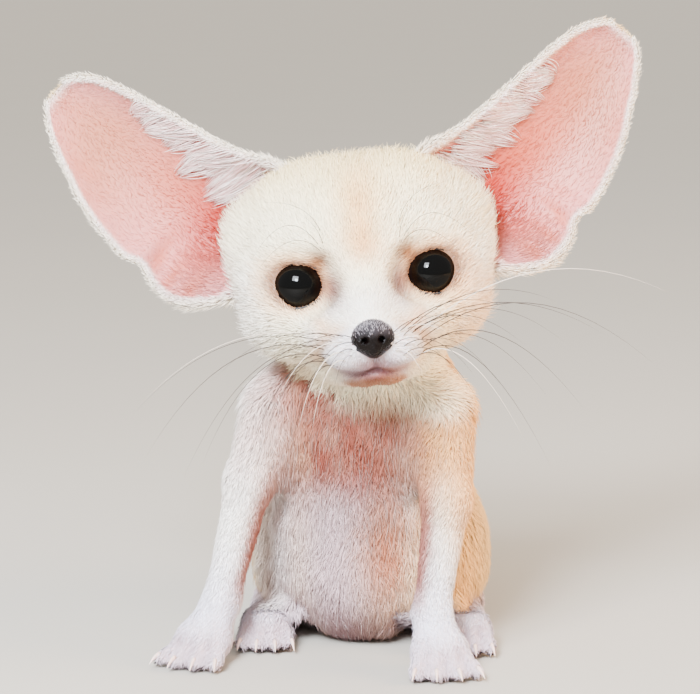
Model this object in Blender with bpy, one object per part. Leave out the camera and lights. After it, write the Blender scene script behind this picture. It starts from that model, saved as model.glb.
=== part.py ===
"""A fennec fox kit, sitting upright on its haunches with both forelegs straight, at life size.

The flesh is a list of masses: balls and tapered limbs that melt into one another. One voxel remesh joins
their rough shapes, and each point of that mesh is then drawn onto the smooth surface that the masses make.
The whole body is parted with thin plane cuts into head, neck, torso, legs, feet and tail. The ears are
cupped leaves, and the eyes and nose sit in sockets of their own.

Masses are given in millimetres, in the frame of the part they belong to, and turned into metres when the
mesh is made. +Z is up, the kit looks along -Y, and its left side is +X.
"""

import math
import random

import bmesh
import bpy
import numpy as np
from mathutils import Matrix, Vector

MM = 0.001
GAP = 0.3
SEED = 7

# Driving sizes of the kit, in millimetres.
EYE_SPACING = 28.0
EYE_RADIUS = 6.2
EYE_HEIGHT = 86.0
EYE_SET_BACK = 2.9
EYE_FACING = 10.0
EYE_OPENING = (55.0, 45.0)
LID_RADIUS = 0.75
EAR_LENGTH = 48.4
EAR_WALL = 1.9
FORELEG_WIDTH = 10.0
TOE_WIDTH = 4.6
TAIL_LENGTH = 84.0

# How the head and the torso are turned, in degrees.
HEAD_ROLL = -6.0
HEAD_PITCH = -8.0
HEAD_TURN = 1.5
TORSO_TURN = -12.0

# Size of the fine mesh that is drawn onto the masses, in millimetres.
SKIN_VOXEL = 0.85
SKIN_ROUNDS = 10
SLIVER = 0.002

# Triangles that each piece is thinned to, before it is cut to length and joined with finer forms.
TRIANGLES = {
    "head": 2300,
    "nose": 320,
    "neck": 420,
    "torso": 2500,
    "foreleg": 340,
    "forepaw": 470,
    "hind_leg": 400,
    "hind_foot": 480,
    "tail": 240,
}
EYE_SEGMENTS = 18
SHARP_ANGLE = 45.0

# Looks of the pieces: linear RGB colour and roughness.
LOOKS = {
    "coat_cream": ((0.82, 0.70, 0.52), 0.9),
    "coat_white": ((0.86, 0.81, 0.78), 0.9),
    "coat_dark": ((0.12, 0.07, 0.04), 0.9),
    "ear_pink": ((0.82, 0.52, 0.45), 0.8),
    "nose_black": ((0.030, 0.022, 0.022), 0.45),
    "eye_black": ((0.008, 0.006, 0.006), 0.06),
}
LOOK_OF = {
    "ear": "ear_pink",
    "eye": "eye_black",
    "nose": "nose_black",
    "foreleg": "coat_white",
    "forepaw": "coat_white",
    "hind_foot": "coat_white",
    "tail_tip": "coat_dark",
}


def clear_scene():
    for thing in list(bpy.data.objects):
        bpy.data.objects.remove(thing, do_unlink=True)


def material(name, colour, roughness):
    made = bpy.data.materials.new(name)
    made.use_nodes = True
    shader = made.node_tree.nodes["Principled BSDF"]
    shader.inputs["Base Color"].default_value = (*colour, 1.0)
    shader.inputs["Roughness"].default_value = roughness
    shader.inputs["Metallic"].default_value = 0.0
    made.diffuse_color = (*colour, 1.0)
    return made


class Place:
    """A frame of reference: an origin in millimetres and three unit axes."""

    def __init__(self, origin=(0, 0, 0), pitch=0.0, roll=0.0, turn=0.0):
        self.origin = np.array(origin, float)
        spin = Matrix.Rotation(math.radians(turn), 3, "Z") @ Matrix.Rotation(math.radians(roll), 3, "Y")
        self.axes = np.array(spin @ Matrix.Rotation(math.radians(pitch), 3, "X"))

    def point(self, local):
        return self.origin + self.axes @ np.array(local, float)

    def direction(self, local):
        return self.axes @ np.array(local, float)


WORLD = Place()
HEAD = Place((0.0, -19.0, EYE_HEIGHT), pitch=HEAD_PITCH, roll=HEAD_ROLL, turn=HEAD_TURN)
TORSO = Place((-2.5, 4.0, 0.0), turn=TORSO_TURN)


class Ball:
    """An ellipsoid of flesh. soft is the width, in millimetres, over which it melts into the rest."""

    def __init__(self, place, centre, radii, soft=8.0, pitch=0.0, roll=0.0, turn=0.0):
        self.centre = place.point(centre)
        self.radii = np.array(radii, float)
        self.axes = place.axes @ Place(pitch=pitch, roll=roll, turn=turn).axes
        self.soft = soft
        self.middle = self.centre
        self.reach = max(radii)

    def distance(self, points):
        local = (points - self.centre) @ self.axes
        near = np.linalg.norm(local / self.radii, axis=1)
        steep = np.linalg.norm(local / self.radii**2, axis=1)
        return near * (near - 1.0) / np.maximum(steep, 1e-6)

    def beads(self):
        """The balls, each as a centre and a stretch, that stand in for this mass before the remesh."""
        return [(self.centre, self.axes * self.radii)]


class Limb:
    """A tapered rod of flesh with round ends."""

    def __init__(self, place, start, end, start_radius, end_radius, soft=4.0):
        self.start = place.point(start)
        self.end = place.point(end)
        self.start_radius = start_radius
        self.end_radius = end_radius
        self.soft = soft
        self.middle = 0.5 * (self.start + self.end)
        self.reach = 0.5 * np.linalg.norm(self.end - self.start) + max(start_radius, end_radius)

    def distance(self, points):
        along = self.end - self.start
        share = np.clip((points - self.start) @ along / (along @ along), 0.0, 1.0)
        radius = self.start_radius + (self.end_radius - self.start_radius) * share
        return np.linalg.norm(points - self.start - share[:, None] * along, axis=1) - radius

    def beads(self):
        count = 2 + int(np.linalg.norm(self.end - self.start) / (0.5 * self.start_radius))
        return [
            (
                self.start + share * (self.end - self.start),
                np.eye(3) * (self.start_radius + (self.end_radius - self.start_radius) * share),
            )
            for share in np.linspace(0.0, 1.0, count)
        ]


def melt(first, second, soft):
    """The smaller of two distances, rounded where they are alike."""
    overlap = np.maximum(soft - np.abs(first - second), 0.0) / soft
    return np.minimum(first, second) - overlap**2 * soft / 4


def near(mass, points):
    """Which points lie near enough to a mass to feel it."""
    return np.linalg.norm(points - mass.middle, axis=1) < mass.reach + mass.soft + 4.0


def flesh_distance(masses, dents, points):
    """Distance in millimetres from each point to the surface of the melted masses, less than 0 inside."""
    found = np.full(len(points), 50.0)
    for mass in masses:
        close = near(mass, points)
        found[close] = melt(found[close], mass.distance(points[close]), mass.soft)
    for dent in dents:
        close = near(dent, points)
        found[close] = -melt(-found[close], dent.distance(points[close]), dent.soft)
    return found


def drawn_on(masses, dents, points, step=0.15):
    """The points moved onto the surface of the masses, along its slope."""
    corners = np.array([(1, -1, -1), (-1, -1, 1), (-1, 1, -1), (1, 1, 1)], float)
    away = np.zeros(len(points))
    outward = np.zeros_like(points)
    for corner in corners:
        found = flesh_distance(masses, dents, points + step * corner)
        away += found / 4
        outward += found[:, None] * corner
    outward /= np.maximum(np.linalg.norm(outward, axis=1), 1e-9)[:, None]
    return points - np.clip(away, -2.0, 2.0)[:, None] * outward


def both_sides(make):
    """The same masses on the kit's left (+1) and right (-1) side."""
    return [mass for side in (1, -1) for mass in make(side)]


def head_masses():
    def paired(side):
        return [
            Ball(HEAD, (side * 12, 15, 14), (12, 14, 13), soft=6),
            Ball(HEAD, (side * 21, 16, 7), (8, 10, 12), soft=8, roll=side * 20),
            Ball(HEAD, (side * 17, 10, -5), (12.5, 13, 12), soft=8),
            Ball(HEAD, (side * 12.5, 4.5, 8.5), (8.5, 6.5, 5.5), soft=6),
            Ball(HEAD, (side * 7.5, 0, -10.5), (8, 8, 7), soft=7),
            Ball(HEAD, (side * 5.2, -9.4, -14.8), (6.0, 7.6, 5.0), soft=4.5),
        ]

    def jaw(side):
        return [Limb(HEAD, (side * 8, 8, -16.5), (side * 2.2, -7.6, -20.0), 6.0, 3.5, soft=1.2)]

    return [
        Ball(HEAD, (0, 19, 6), (24, 24, 22.5)),
        Ball(HEAD, (0, 8, 12), (17, 13, 13), soft=8),
        Limb(HEAD, (0, 4, -0.5), (0, -13.6, -11.9), 8.0, 4.2, soft=6),
        *both_sides(paired),
        *both_sides(jaw),
    ]


def eye_dents():
    """The shallow hollows in which the eyes lie."""
    half = EYE_SPACING / 2
    return [Ball(HEAD, (side * (half - 0.3), -4.6, -0.2), (7.6, 4.8, 6.8), soft=3) for side in (1, -1)]


def torso_masses():
    def paired(side):
        return [
            Ball(TORSO, (side * 15, 3, 52), (9, 11, 13), soft=8),
            Ball(TORSO, (side * 18.6, 20.5, 17.5), (9.3, 18.5, 17.5), soft=3.5, pitch=-14),
        ]

    return [
        Ball(TORSO, (1, 5, 50), (20, 17, 19)),
        Ball(TORSO, (0, 11, 29), (23, 21, 27), soft=10),
        Ball(TORSO, (1, 11, 14), (18, 20, 14.6), soft=8),
        Ball(TORSO, (0, 32, 21), (23, 23, 21.5), soft=10),
        Limb(TORSO, (1, 18, 60), (0, 36, 26), 17, 19, soft=8),
        Ball(TORSO, (0, 28, 44), (18, 17.5, 19), soft=10),
        Limb(TORSO, (2, 8, 56), (4, 0, 76), 17, 15, soft=8),
        *both_sides(paired),
    ]


# Forelegs, each as shoulder, elbow, wrist and the middle of the paw, in millimetres in the world.
FORELEGS = {
    "left": ((17, -4, 55), (18, -12.5, 37), (14.6, -18.5, 12.5), (16.4, -22.0, 4.8)),
    "right": ((-20, 2, 54), (-25.5, -3, 39), (-31.5, -9, 13.5), (-35.5, -12.5, 5.0)),
}
# The way each forepaw points, in degrees from straight ahead towards the kit's left.
FOREPAW_AIM = {"left": 8.0, "right": -24.0}
HIND_FEET = {"left": ((23, 27, 5.0), (22.5, -0.5, 4.6)), "right": ((-21, 33, 5.0), (-22, 4.0, 4.6))}


def toe_fan(middle, aim, spread, reach):
    """Four toes fanned out from the middle of a foot, as (start, end) of each; aim turns towards +X."""
    aim = math.radians(aim)
    ahead = np.array((math.sin(aim), -math.cos(aim), 0.0))
    beside = np.array((math.cos(aim), math.sin(aim), 0.0))
    toes = []
    for number in range(4):
        share = number / 3 - 0.5
        angle = math.radians(spread * share)
        start = np.array((middle[0], middle[1], 4.2)) + 8.4 * share * beside + 1.5 * ahead
        length = reach - 2.6 * abs(share)
        end = start + length * (math.cos(angle) * ahead + math.sin(angle) * beside)
        end[2] = 1.9
        toes.append((start, end))
    return toes


def forepaw_toes(side):
    return toe_fan(FORELEGS[side][3], FOREPAW_AIM[side], 44, 7.4)


def hind_toes(side):
    return toe_fan(HIND_FEET[side][1], 0.0, 26, 7.2)


def claws(name, toes):
    """A short hooked claw on each toe."""
    made = []
    for start, end in toes:
        ahead = (end - start) * (1.0, 1.0, 0.0)
        ahead /= np.linalg.norm(ahead)
        rise = np.array((0.0, 0.0, 1.0))
        steps = ((0.8, 1.0), (2.6, 0.9), (3.8, -0.5))
        line = [end + onward * ahead + upward * rise for onward, upward in steps]
        made.append(tube(name, smooth_path(line, 4), (0.7, 0.65, 0.45, 0.12), 5))
    return made


def foreleg_masses(side):
    shoulder, elbow, wrist, paw = FORELEGS[side]
    radius = FORELEG_WIDTH / 2
    masses = [
        Limb(WORLD, shoulder, elbow, radius + 3.2, radius + 0.9, soft=5),
        Limb(WORLD, elbow, wrist, radius + 0.6, radius - 0.7, soft=3),
        Limb(WORLD, wrist, paw, radius - 0.6, radius + 0.1, soft=3),
        Ball(WORLD, paw, (6.9, 6.2, 5.0), soft=3, turn=FOREPAW_AIM[side]),
    ]
    for start, end in forepaw_toes(side):
        masses.append(Limb(WORLD, start, end, TOE_WIDTH / 2 + 0.1, TOE_WIDTH / 2, soft=1.0))
    return masses


def hind_foot_masses(side):
    heel, ball = HIND_FEET[side]
    masses = [
        Limb(WORLD, heel, ball, 5.0, 5.2, soft=3),
        Ball(WORLD, ball, (6.4, 6.0, 4.8), soft=3),
    ]
    for start, end in hind_toes(side):
        masses.append(Limb(WORLD, start, end, TOE_WIDTH / 2 + 0.1, TOE_WIDTH / 2 - 0.1, soft=1.0))
    return masses


def tail_line():
    """Middle line of the tail, root to tip: it drops from the rump to the floor and curls round behind."""
    steps = 16
    root = TORSO.point((0, 51, 12))
    heading = TORSO_TURN + 78.0
    line = [root]
    for number in range(1, steps + 1):
        share = number / steps
        heading += 1.5 + 8.0 * share
        angle = math.radians(heading)
        stride = TAIL_LENGTH / steps
        rest = tail_radius(share) - 0.5
        height = rest + (root[2] - rest) * max(0.0, 1 - share / 0.3) ** 2
        last = line[-1]
        ahead = stride * np.array((math.cos(angle), math.sin(angle)))
        line.append(np.array((*(last[:2] + ahead), height)))
    return line


def tail_radius(share):
    """The coat-deep radius of the tail: it thickens a little, then runs out to a blunt tip."""
    return 6.2 + 1.2 * math.sin(math.pi * share) - 3.2 * share**4


def tail_masses():
    line = tail_line()
    last = len(line) - 1
    return [
        Limb(WORLD, line[n], line[n + 1], tail_radius(n / last), tail_radius((n + 1) / last), soft=3)
        for n in range(last)
    ]


def all_masses():
    return [
        *torso_masses(),
        *head_masses(),
        *foreleg_masses("left"),
        *foreleg_masses("right"),
        *hind_foot_masses("left"),
        *hind_foot_masses("right"),
        *tail_masses(),
    ]


def new_object(name, mesh):
    made = bpy.data.objects.new(name, mesh)
    bpy.context.scene.collection.objects.link(made)
    return made


def settle(thing):
    """Makes the modifiers of an object part of its mesh."""
    bpy.context.view_layer.update()
    graph = bpy.context.evaluated_depsgraph_get()
    mesh = bpy.data.meshes.new_from_object(thing.evaluated_get(graph))
    thing.modifiers.clear()
    thing.data = mesh


def points_of(mesh):
    flat = np.empty(len(mesh.vertices) * 3)
    mesh.vertices.foreach_get("co", flat)
    return flat.reshape(-1, 3)


def evened(points, edges, share):
    """Moves each point a share of the way to the middle of its neighbours."""
    total = np.zeros_like(points)
    count = np.zeros(len(points))
    for one, other in ((0, 1), (1, 0)):
        np.add.at(total, edges[:, one], points[edges[:, other]])
        np.add.at(count, edges[:, one], 1)
    return points + share * (total / np.maximum(count, 1)[:, None] - points)


def unit_ball():
    """Points and faces of a ball of radius 1."""
    mesh = bmesh.new()
    bmesh.ops.create_uvsphere(mesh, u_segments=20, v_segments=12, radius=1.0)
    mesh.verts.index_update()
    points = np.array([vertex.co[:] for vertex in mesh.verts])
    faces = [[vertex.index for vertex in face.verts] for face in mesh.faces]
    mesh.free()
    return points, faces


def grow(name, masses, dents=(), voxel=SKIN_VOXEL, rounds=SKIN_ROUNDS):
    """One closed skin over the masses, in millimetres."""
    ball_points, ball_faces = unit_ball()
    points = []
    faces = []
    for mass in masses:
        for centre, stretch in mass.beads():
            start = len(points) * len(ball_points)
            faces += [[start + corner for corner in face] for face in ball_faces]
            points.append(ball_points @ stretch.T + centre)
    mesh = bpy.data.meshes.new(name)
    mesh.from_pydata(np.concatenate(points).tolist(), [], faces)
    skin = new_object(name, mesh)
    remesh = skin.modifiers.new("Join", "REMESH")
    remesh.mode = "VOXEL"
    remesh.voxel_size = voxel
    settle(skin)
    points = points_of(skin.data)
    edges = np.array([edge.vertices[:] for edge in skin.data.edges])
    for number in range(rounds):
        if number < rounds - 2:
            points = evened(points, edges, 0.5)
        points = drawn_on(masses, dents, points)
    skin.data.vertices.foreach_set("co", points.ravel())
    skin.data.update()
    return skin


def cut_flat(mesh, point, normal):
    """Cuts a mesh along a plane, drops what lies beyond it and closes the cut."""
    everything = mesh.verts[:] + mesh.edges[:] + mesh.faces[:]
    bmesh.ops.bisect_plane(mesh, geom=everything, plane_co=point, plane_no=normal, clear_outer=True)
    rim = [edge for edge in mesh.edges if edge.is_boundary]
    bmesh.ops.holes_fill(mesh, edges=rim, sides=0)


def keep_largest(mesh):
    """Leaves only the largest closed surface of a mesh."""
    left = set(mesh.verts)
    groups = []
    while left:
        group = {left.pop()}
        edge_of_group = list(group)
        while edge_of_group:
            vertex = edge_of_group.pop()
            for edge in vertex.link_edges:
                other = edge.other_vert(vertex)
                if other in left:
                    left.remove(other)
                    group.add(other)
                    edge_of_group.append(other)
        groups.append(group)
    groups.sort(key=len)
    for group in groups[:-1]:
        bmesh.ops.delete(mesh, geom=list(group), context="VERTS")


def tidy_mesh(mesh):
    """Drops slivers, stray flaps and loose scraps, and splits every face into triangles."""
    bmesh.ops.remove_doubles(mesh, verts=mesh.verts[:], dist=SLIVER)
    bmesh.ops.dissolve_degenerate(mesh, dist=SLIVER, edges=mesh.edges[:])
    bmesh.ops.triangulate(mesh, faces=mesh.faces[:])
    flaps = {
        face
        for edge in mesh.edges
        if edge.is_boundary
        for face in edge.link_faces
        if any(len(side.link_faces) > 2 for side in face.edges)
    }
    bmesh.ops.delete(mesh, geom=list(flaps), context="FACES")
    keep_largest(mesh)


def part_off(name, flesh, planes, triangles):
    """The stretch of flesh that lies behind every plane, thinned to about so many triangles.

    Each plane is a point and an outward direction. The stretch is first cut a little too long, so that the
    thinning has no say in its cut faces. The last cut has the manifold solver, because the exact one can
    leave nothing of a foot.
    """
    spare = 2.5
    planes = [(Vector(point), Vector(normal).normalized()) for point, normal in planes]
    mesh = bmesh.new()
    mesh.from_mesh(flesh.data)
    for point, normal in planes:
        cut_flat(mesh, point + spare * normal, normal)
    bmesh.ops.triangulate(mesh, faces=mesh.faces[:])
    keep_largest(mesh)
    piece = new_object(name, bpy.data.meshes.new(name))
    mesh.to_mesh(piece.data)
    mesh.free()
    if len(piece.data.polygons) > triangles:
        thin = piece.modifiers.new("Thin", "DECIMATE")
        thin.ratio = triangles / len(piece.data.polygons)
        settle(piece)
    room = box(WORLD, (-200, -200, -200), (200, 200, 200))
    mesh = bmesh.new()
    mesh.from_mesh(room.data)
    for point, normal in planes:
        cut_flat(mesh, point - 0.5 * GAP * normal, normal)
    mesh.to_mesh(room.data)
    mesh.free()
    combine(piece, [room], "INTERSECT", solver="MANIFOLD")
    return piece


def combine(piece, others, operation, solver="EXACT"):
    """One Boolean of a piece with a collection of closed shapes, applied, after which they are removed."""
    group = bpy.data.collections.new("cutters")
    bpy.context.scene.collection.children.link(group)
    for other in others:
        group.objects.link(other)
        bpy.context.scene.collection.objects.unlink(other)
        other.hide_render = True
        other.display_type = "WIRE"
    boolean = piece.modifiers.new("Combine", "BOOLEAN")
    boolean.operation = operation
    boolean.solver = solver
    boolean.operand_type = "COLLECTION"
    boolean.collection = group
    settle(piece)
    for other in others:
        bpy.data.objects.remove(other, do_unlink=True)
    bpy.data.collections.remove(group)
    mesh = bmesh.new()
    mesh.from_mesh(piece.data)
    tidy_mesh(mesh)
    mesh.to_mesh(piece.data)
    mesh.free()


def swelled(name, piece, amount):
    """A copy of a closed piece with its surface pushed out."""
    copy = new_object(name, piece.data.copy())
    points = points_of(copy.data)
    normals = np.array([vertex.normal[:] for vertex in copy.data.vertices])
    copy.data.vertices.foreach_set("co", (points + amount * normals).ravel())
    copy.data.update()
    return copy


def loft(name, rings, closed_ends=True):
    """A closed shape through a row of rings that all have the same number of points."""
    count = len(rings[0])
    points = [tuple(point) for ring in rings for point in ring]
    faces = []
    for row in range(len(rings) - 1):
        for corner in range(count):
            after = (corner + 1) % count
            low, high = row * count, (row + 1) * count
            faces.append((low + corner, low + after, high + after, high + corner))
    if closed_ends:
        faces.append(tuple(reversed(range(count))))
        faces.append(tuple(range(len(points) - count, len(points))))
    mesh = bpy.data.meshes.new(name)
    mesh.from_pydata(points, [], faces)
    shape = new_object(name, mesh)
    made = bmesh.new()
    made.from_mesh(mesh)
    bmesh.ops.recalc_face_normals(made, faces=made.faces[:])
    made.to_mesh(mesh)
    made.free()
    return shape


def tube(name, line, radii, sides=8):
    """A round tube along a line of points, with a radius for each."""
    line = [np.array(point, float) for point in line]
    rings = []
    across = None
    for number, point in enumerate(line):
        ahead = line[min(number + 1, len(line) - 1)] - line[max(number - 1, 0)]
        ahead /= np.linalg.norm(ahead)
        if across is None:
            across = np.cross(ahead, (0.31, 0.52, 0.79))
        across -= ahead * (across @ ahead)
        across /= np.linalg.norm(across)
        beside = np.cross(ahead, across)
        ring = []
        for side in range(sides):
            angle = 2 * math.pi * side / sides
            ring.append(point + radii[number] * (math.cos(angle) * across + math.sin(angle) * beside))
        rings.append(ring)
    return loft(name, rings)


def smooth_path(points, count):
    """So many points along a smooth curve (Catmull-Rom) through a few given ones."""
    points = np.array(points, float)
    padded = np.vstack([2 * points[0] - points[1], points, 2 * points[-1] - points[-2]])
    found = []
    for place in np.linspace(0, len(points) - 1, count):
        start = min(int(place), len(points) - 2)
        t = place - start
        before, one, two, after = padded[start : start + 4]
        found.append(
            one
            + 0.5 * t * (two - before)
            + t**2 * (before - 2.5 * one + 2 * two - 0.5 * after)
            + t**3 * (-0.5 * before + 1.5 * one - 1.5 * two + 0.5 * after)
        )
    return np.array(found)


# Edges of an ear seen from in front, as (along, across) in millimetres from the middle of its base: along
# runs to the tip, and across runs to the inner edge. The notch near 10 along is the pouch of the outer edge.
EAR_INNER_EDGE = (
    (-13, 12),
    (-9, 17),
    (-1, 18),
    (4, 16.2),
    (11, 14.2),
    (20, 12.6),
    (28, 11.2),
    (36, 9.7),
    (42, 7.9),
    (46, 5.2),
    (47.9, 2.4),
)
EAR_OUTER_EDGE = (
    (-13, -6),
    (-9, -12.2),
    (-5.5, -16),
    (-1.5, -18.4),
    (4, -18.6),
    (9.6, -17),
    (14.5, -17.8),
    (26, -15.4),
    (36, -10.9),
    (42, -7.6),
    (46, -4.4),
    (47.9, -2),
)
EAR_BASE = (30, 13, 14.5)
EAR_LEAN = 45.0
EAR_FACING = 10.0
EAR_DEPTH = 11.5

# Tufts of each ear: where they root in the cup, as (along, sweep), and their size in millimetres. Their
# tips lie further along and are swept towards the outer edge.
EAR_LOCK_ROOTS = ((0.5, 0.35), (1.5, 0.62), (4, 0.84), (9, 0.9), (16, 0.9), (26, 0.9))
EAR_LOCKS = 11
EAR_LOCK_LENGTH = 12.0
EAR_LOCK_WIDTH = 4.2
EAR_LOCK_SWEEP = 0.8
EAR_LOCK_LIFT = 2.6


class Ear:
    """The frame of one ear, and its cupped front as a function of place."""

    def __init__(self, side):
        self.side = side
        self.base = np.array((side * EAR_BASE[0], *EAR_BASE[1:]), float)
        lean = math.radians(EAR_LEAN)
        facing = Place(turn=side * EAR_FACING).axes
        self.along = facing @ np.array((side * math.cos(lean), 0.0, math.sin(lean)))
        self.across = facing @ np.array((-side * math.sin(lean), 0.0, math.cos(lean)))
        self.back = facing @ np.array((0.0, 1.0, 0.0))
        self.inner = smooth_path((*EAR_INNER_EDGE, (EAR_LENGTH, 0.6)), 60)
        self.outer = smooth_path((*EAR_OUTER_EDGE, (EAR_LENGTH, -0.6)), 60)

    def front(self, along, sweep):
        """A point of the cup's front, with sweep from -1 on the outer edge to 1 on the inner one."""
        top = np.interp(along, self.inner[:, 0], self.inner[:, 1])
        low = np.interp(along, self.outer[:, 0], self.outer[:, 1])
        bend = 1.3
        across = (top + low) / 2 + (top - low) / 2 * math.sin(bend * sweep) / math.sin(bend)
        share = min(max(along / EAR_LENGTH, 0.0), 1.0)
        depth = EAR_DEPTH * (1 - 0.66 * share) * (1 - share**8)
        depth *= (math.cos(bend * sweep) - math.cos(bend)) / (1 - math.cos(bend))
        local = self.base + along * self.along + across * self.across + depth * self.back
        return HEAD.point(local)

    def through(self, along, sweep):
        """The way through the ear's whole wall at a place of the cup, from its front to its back."""
        run = self.front(along + 0.2, sweep) - self.front(along - 0.2, sweep)
        aside = self.front(along, min(sweep + 0.02, 1)) - self.front(along, max(sweep - 0.02, -1))
        outward = np.cross(run, aside)
        outward *= math.copysign(1.0, outward @ HEAD.direction(self.back)) / np.linalg.norm(outward)
        share = min(max(along / EAR_LENGTH, 0.0), 1.0)
        return EAR_WALL * (1 - 0.45 * abs(sweep) ** 3) * (1 - 0.35 * share) * outward


def ear_leaf(side):
    """The closed leaf of an ear: a front, a back one wall behind it, and a rounded rim between them."""
    ear = Ear(side)
    rows, columns = 13, 8
    rings = []
    for row in range(rows + 1):
        share = 1 - (1 - row / rows) ** 1.6
        along = EAR_INNER_EDGE[0][0] * (1 - share) + (EAR_LENGTH - 0.3) * share
        sweeps = np.linspace(-1, 1, columns + 1)
        front = [ear.front(along, sweep) for sweep in sweeps]
        back = [point + ear.through(along, sweep) for point, sweep in zip(front, sweeps)]
        rings.append(front + back[::-1])
    return loft("ear_leaf", rings)


def lock(name, root, tip, lift, width, thickness=0.9, rows=4):
    """A flat, tapered lock of hair from its root to its tip, bowed along the way by lift."""
    root, tip, lift = (np.array(place, float) for place in (root, tip, lift))
    run = tip - root
    flat = np.cross(run, lift)
    flat /= np.linalg.norm(flat)
    up = np.cross(flat, run)
    up /= np.linalg.norm(up)
    rings = []
    for row in range(rows + 1):
        share = row / rows
        middle = root + share * run + 4 * share * (1 - share) * lift
        spread = 0.5 * width * (0.4 + 2.2 * share - 2.4 * share**2)
        thick = 0.5 * thickness * (1 - 0.85 * share)
        corners = (spread * flat, thick * up, -spread * flat, -thick * up)
        rings.append([middle + corner for corner in corners])
    return loft(name, rings)


def ear_locks(side):
    """The long tufts of an ear: they root along its inner edge and reach out over the cup."""
    ear = Ear(side)
    draw = random.Random(SEED + side)
    lift = -EAR_LOCK_LIFT * HEAD.direction(ear.back)
    locks = []
    for along, sweep in smooth_path(EAR_LOCK_ROOTS, EAR_LOCKS):
        reach = EAR_LOCK_LENGTH * draw.uniform(0.85, 1.1)
        root = ear.front(along, sweep) + 0.5 * ear.through(along, sweep)
        tip = ear.front(along + reach, sweep - EAR_LOCK_SWEEP * draw.uniform(0.8, 1.1)) + lift
        locks.append(lock("lock", root, tip, 0.35 * lift, EAR_LOCK_WIDTH * draw.uniform(0.85, 1.1)))
    return locks


def lid_ring(side):
    """The rim of the lids round one eye: a bent tube along the almond opening."""
    steps = 22
    centre = np.array((side * EYE_SPACING / 2, EYE_SET_BACK, 0.0))
    facing = Place(turn=side * EYE_FACING).axes
    reach = EYE_RADIUS + GAP + LID_RADIUS + 0.25
    mesh_rings = []
    for number in range(steps):
        angle = 2 * math.pi * number / steps
        wide, high = math.cos(angle), math.sin(angle)
        # The inner corner dips towards the nose, and the upper lid arches higher than the lower one.
        open_wide = math.radians(EYE_OPENING[0] + (3.0 if side * wide < 0 else 0.0) * abs(wide) ** 6)
        open_high = math.radians(EYE_OPENING[1])
        lean = (open_wide * abs(wide)) ** 2 + (open_high * abs(high)) ** 2
        lean = math.sqrt(lean) + math.asin(LID_RADIUS / reach)
        drop = -0.06 * (side * wide < 0) * abs(wide) ** 4
        aim = np.array((math.sin(lean) * wide, -math.cos(lean), math.sin(lean) * (high + drop)))
        aim /= np.linalg.norm(aim)
        run = np.array((-high, 0.0, wide))
        run -= aim * (run @ aim)
        run /= np.linalg.norm(run)
        beside = np.cross(run, aim)
        radius = LID_RADIUS * (0.8 + 0.35 * max(high, 0.0))
        ring = []
        for corner in range(6):
            turn = 2 * math.pi * corner / 6
            local = aim * (reach + radius * math.cos(turn)) + beside * radius * math.sin(turn)
            ring.append(HEAD.point(centre + facing @ local))
        mesh_rings.append(ring)
    return loft("lid", mesh_rings + [mesh_rings[0]], closed_ends=False)


def eyeball(name, side, radius):
    """A ball at the middle of an eye."""
    mesh = bpy.data.meshes.new(name)
    made = bmesh.new()
    at = Matrix.Translation(Vector(HEAD.point((side * EYE_SPACING / 2, EYE_SET_BACK, 0.0))))
    bmesh.ops.create_uvsphere(
        made, u_segments=EYE_SEGMENTS, v_segments=EYE_SEGMENTS // 2, radius=radius, matrix=at
    )
    made.to_mesh(mesh)
    made.free()
    return new_object(name, mesh)


def nose_masses():
    def wing(side):
        return [Ball(HEAD, (side * 2.7, -15.8, -13.2), (2.0, 3.3, 2.4), soft=1.4)]

    return [
        Ball(HEAD, (0, -16.4, -11.9), (3.7, 3.9, 3.0), soft=2),
        Ball(HEAD, (0, -16.0, -14.9), (2.4, 3.5, 2.3), soft=2),
        *both_sides(wing),
    ]


def nostrils():
    """The two comma-shaped openings of the nose, and the groove under it."""
    groove = [HEAD.point((0, -20.4, -14.6)), HEAD.point((0, -18.6, -17.8))]
    cutters = [tube("groove", groove, [0.35, 0.3], 6)]
    for side in (1, -1):
        line = [(1.5, -20.6, -13.0), (2.1, -18.4, -13.5), (3.6, -17.6, -14.2), (5.6, -16.2, -14.6)]
        path = [HEAD.point((side * x, y, z)) for x, y, z in smooth_path(line, 8)]
        cutters.append(tube("nostril", path, np.linspace(0.85, 0.35, 8), 6))
    return cutters


def mouth_groove():
    """A thin curved cutter along the line of the mouth."""
    line = [(-9.5, 1.0, -17.2), (-8.3, -4.0, -19.0), (-5.0, -10.5, -19.6), (0, -14.5, -18.9)]
    line += [(-x, y, z) for x, y, z in line[-2::-1]]
    path = [HEAD.point(place) for place in smooth_path(line, 22)]
    radii = 0.25 + 0.45 * np.sin(np.linspace(0, math.pi, 22)) ** 0.5
    return tube("mouth", path, radii, 6)


def box_planes(place, low, high):
    """The six faces of a box as (point, outward direction)."""
    planes = []
    for axis in range(3):
        outward = np.zeros(3)
        outward[axis] = 1.0
        planes.append((place.point(high), place.direction(outward)))
        planes.append((place.point(low), place.direction(-outward)))
    return planes


def box(place, low, high, grown=0.0):
    """A box as an object, with its faces moved out by so much."""
    mesh = bmesh.new()
    bmesh.ops.create_cube(mesh, size=1.0)
    low = np.array(low, float) - grown
    high = np.array(high, float) + grown
    for vertex in mesh.verts:
        vertex.co = Vector(place.point(low + (np.array(vertex.co) + 0.5) * (high - low)))
    bmesh.ops.recalc_face_normals(mesh, faces=mesh.faces[:])
    data = bpy.data.meshes.new("box")
    mesh.to_mesh(data)
    mesh.free()
    return new_object("box", data)


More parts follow.
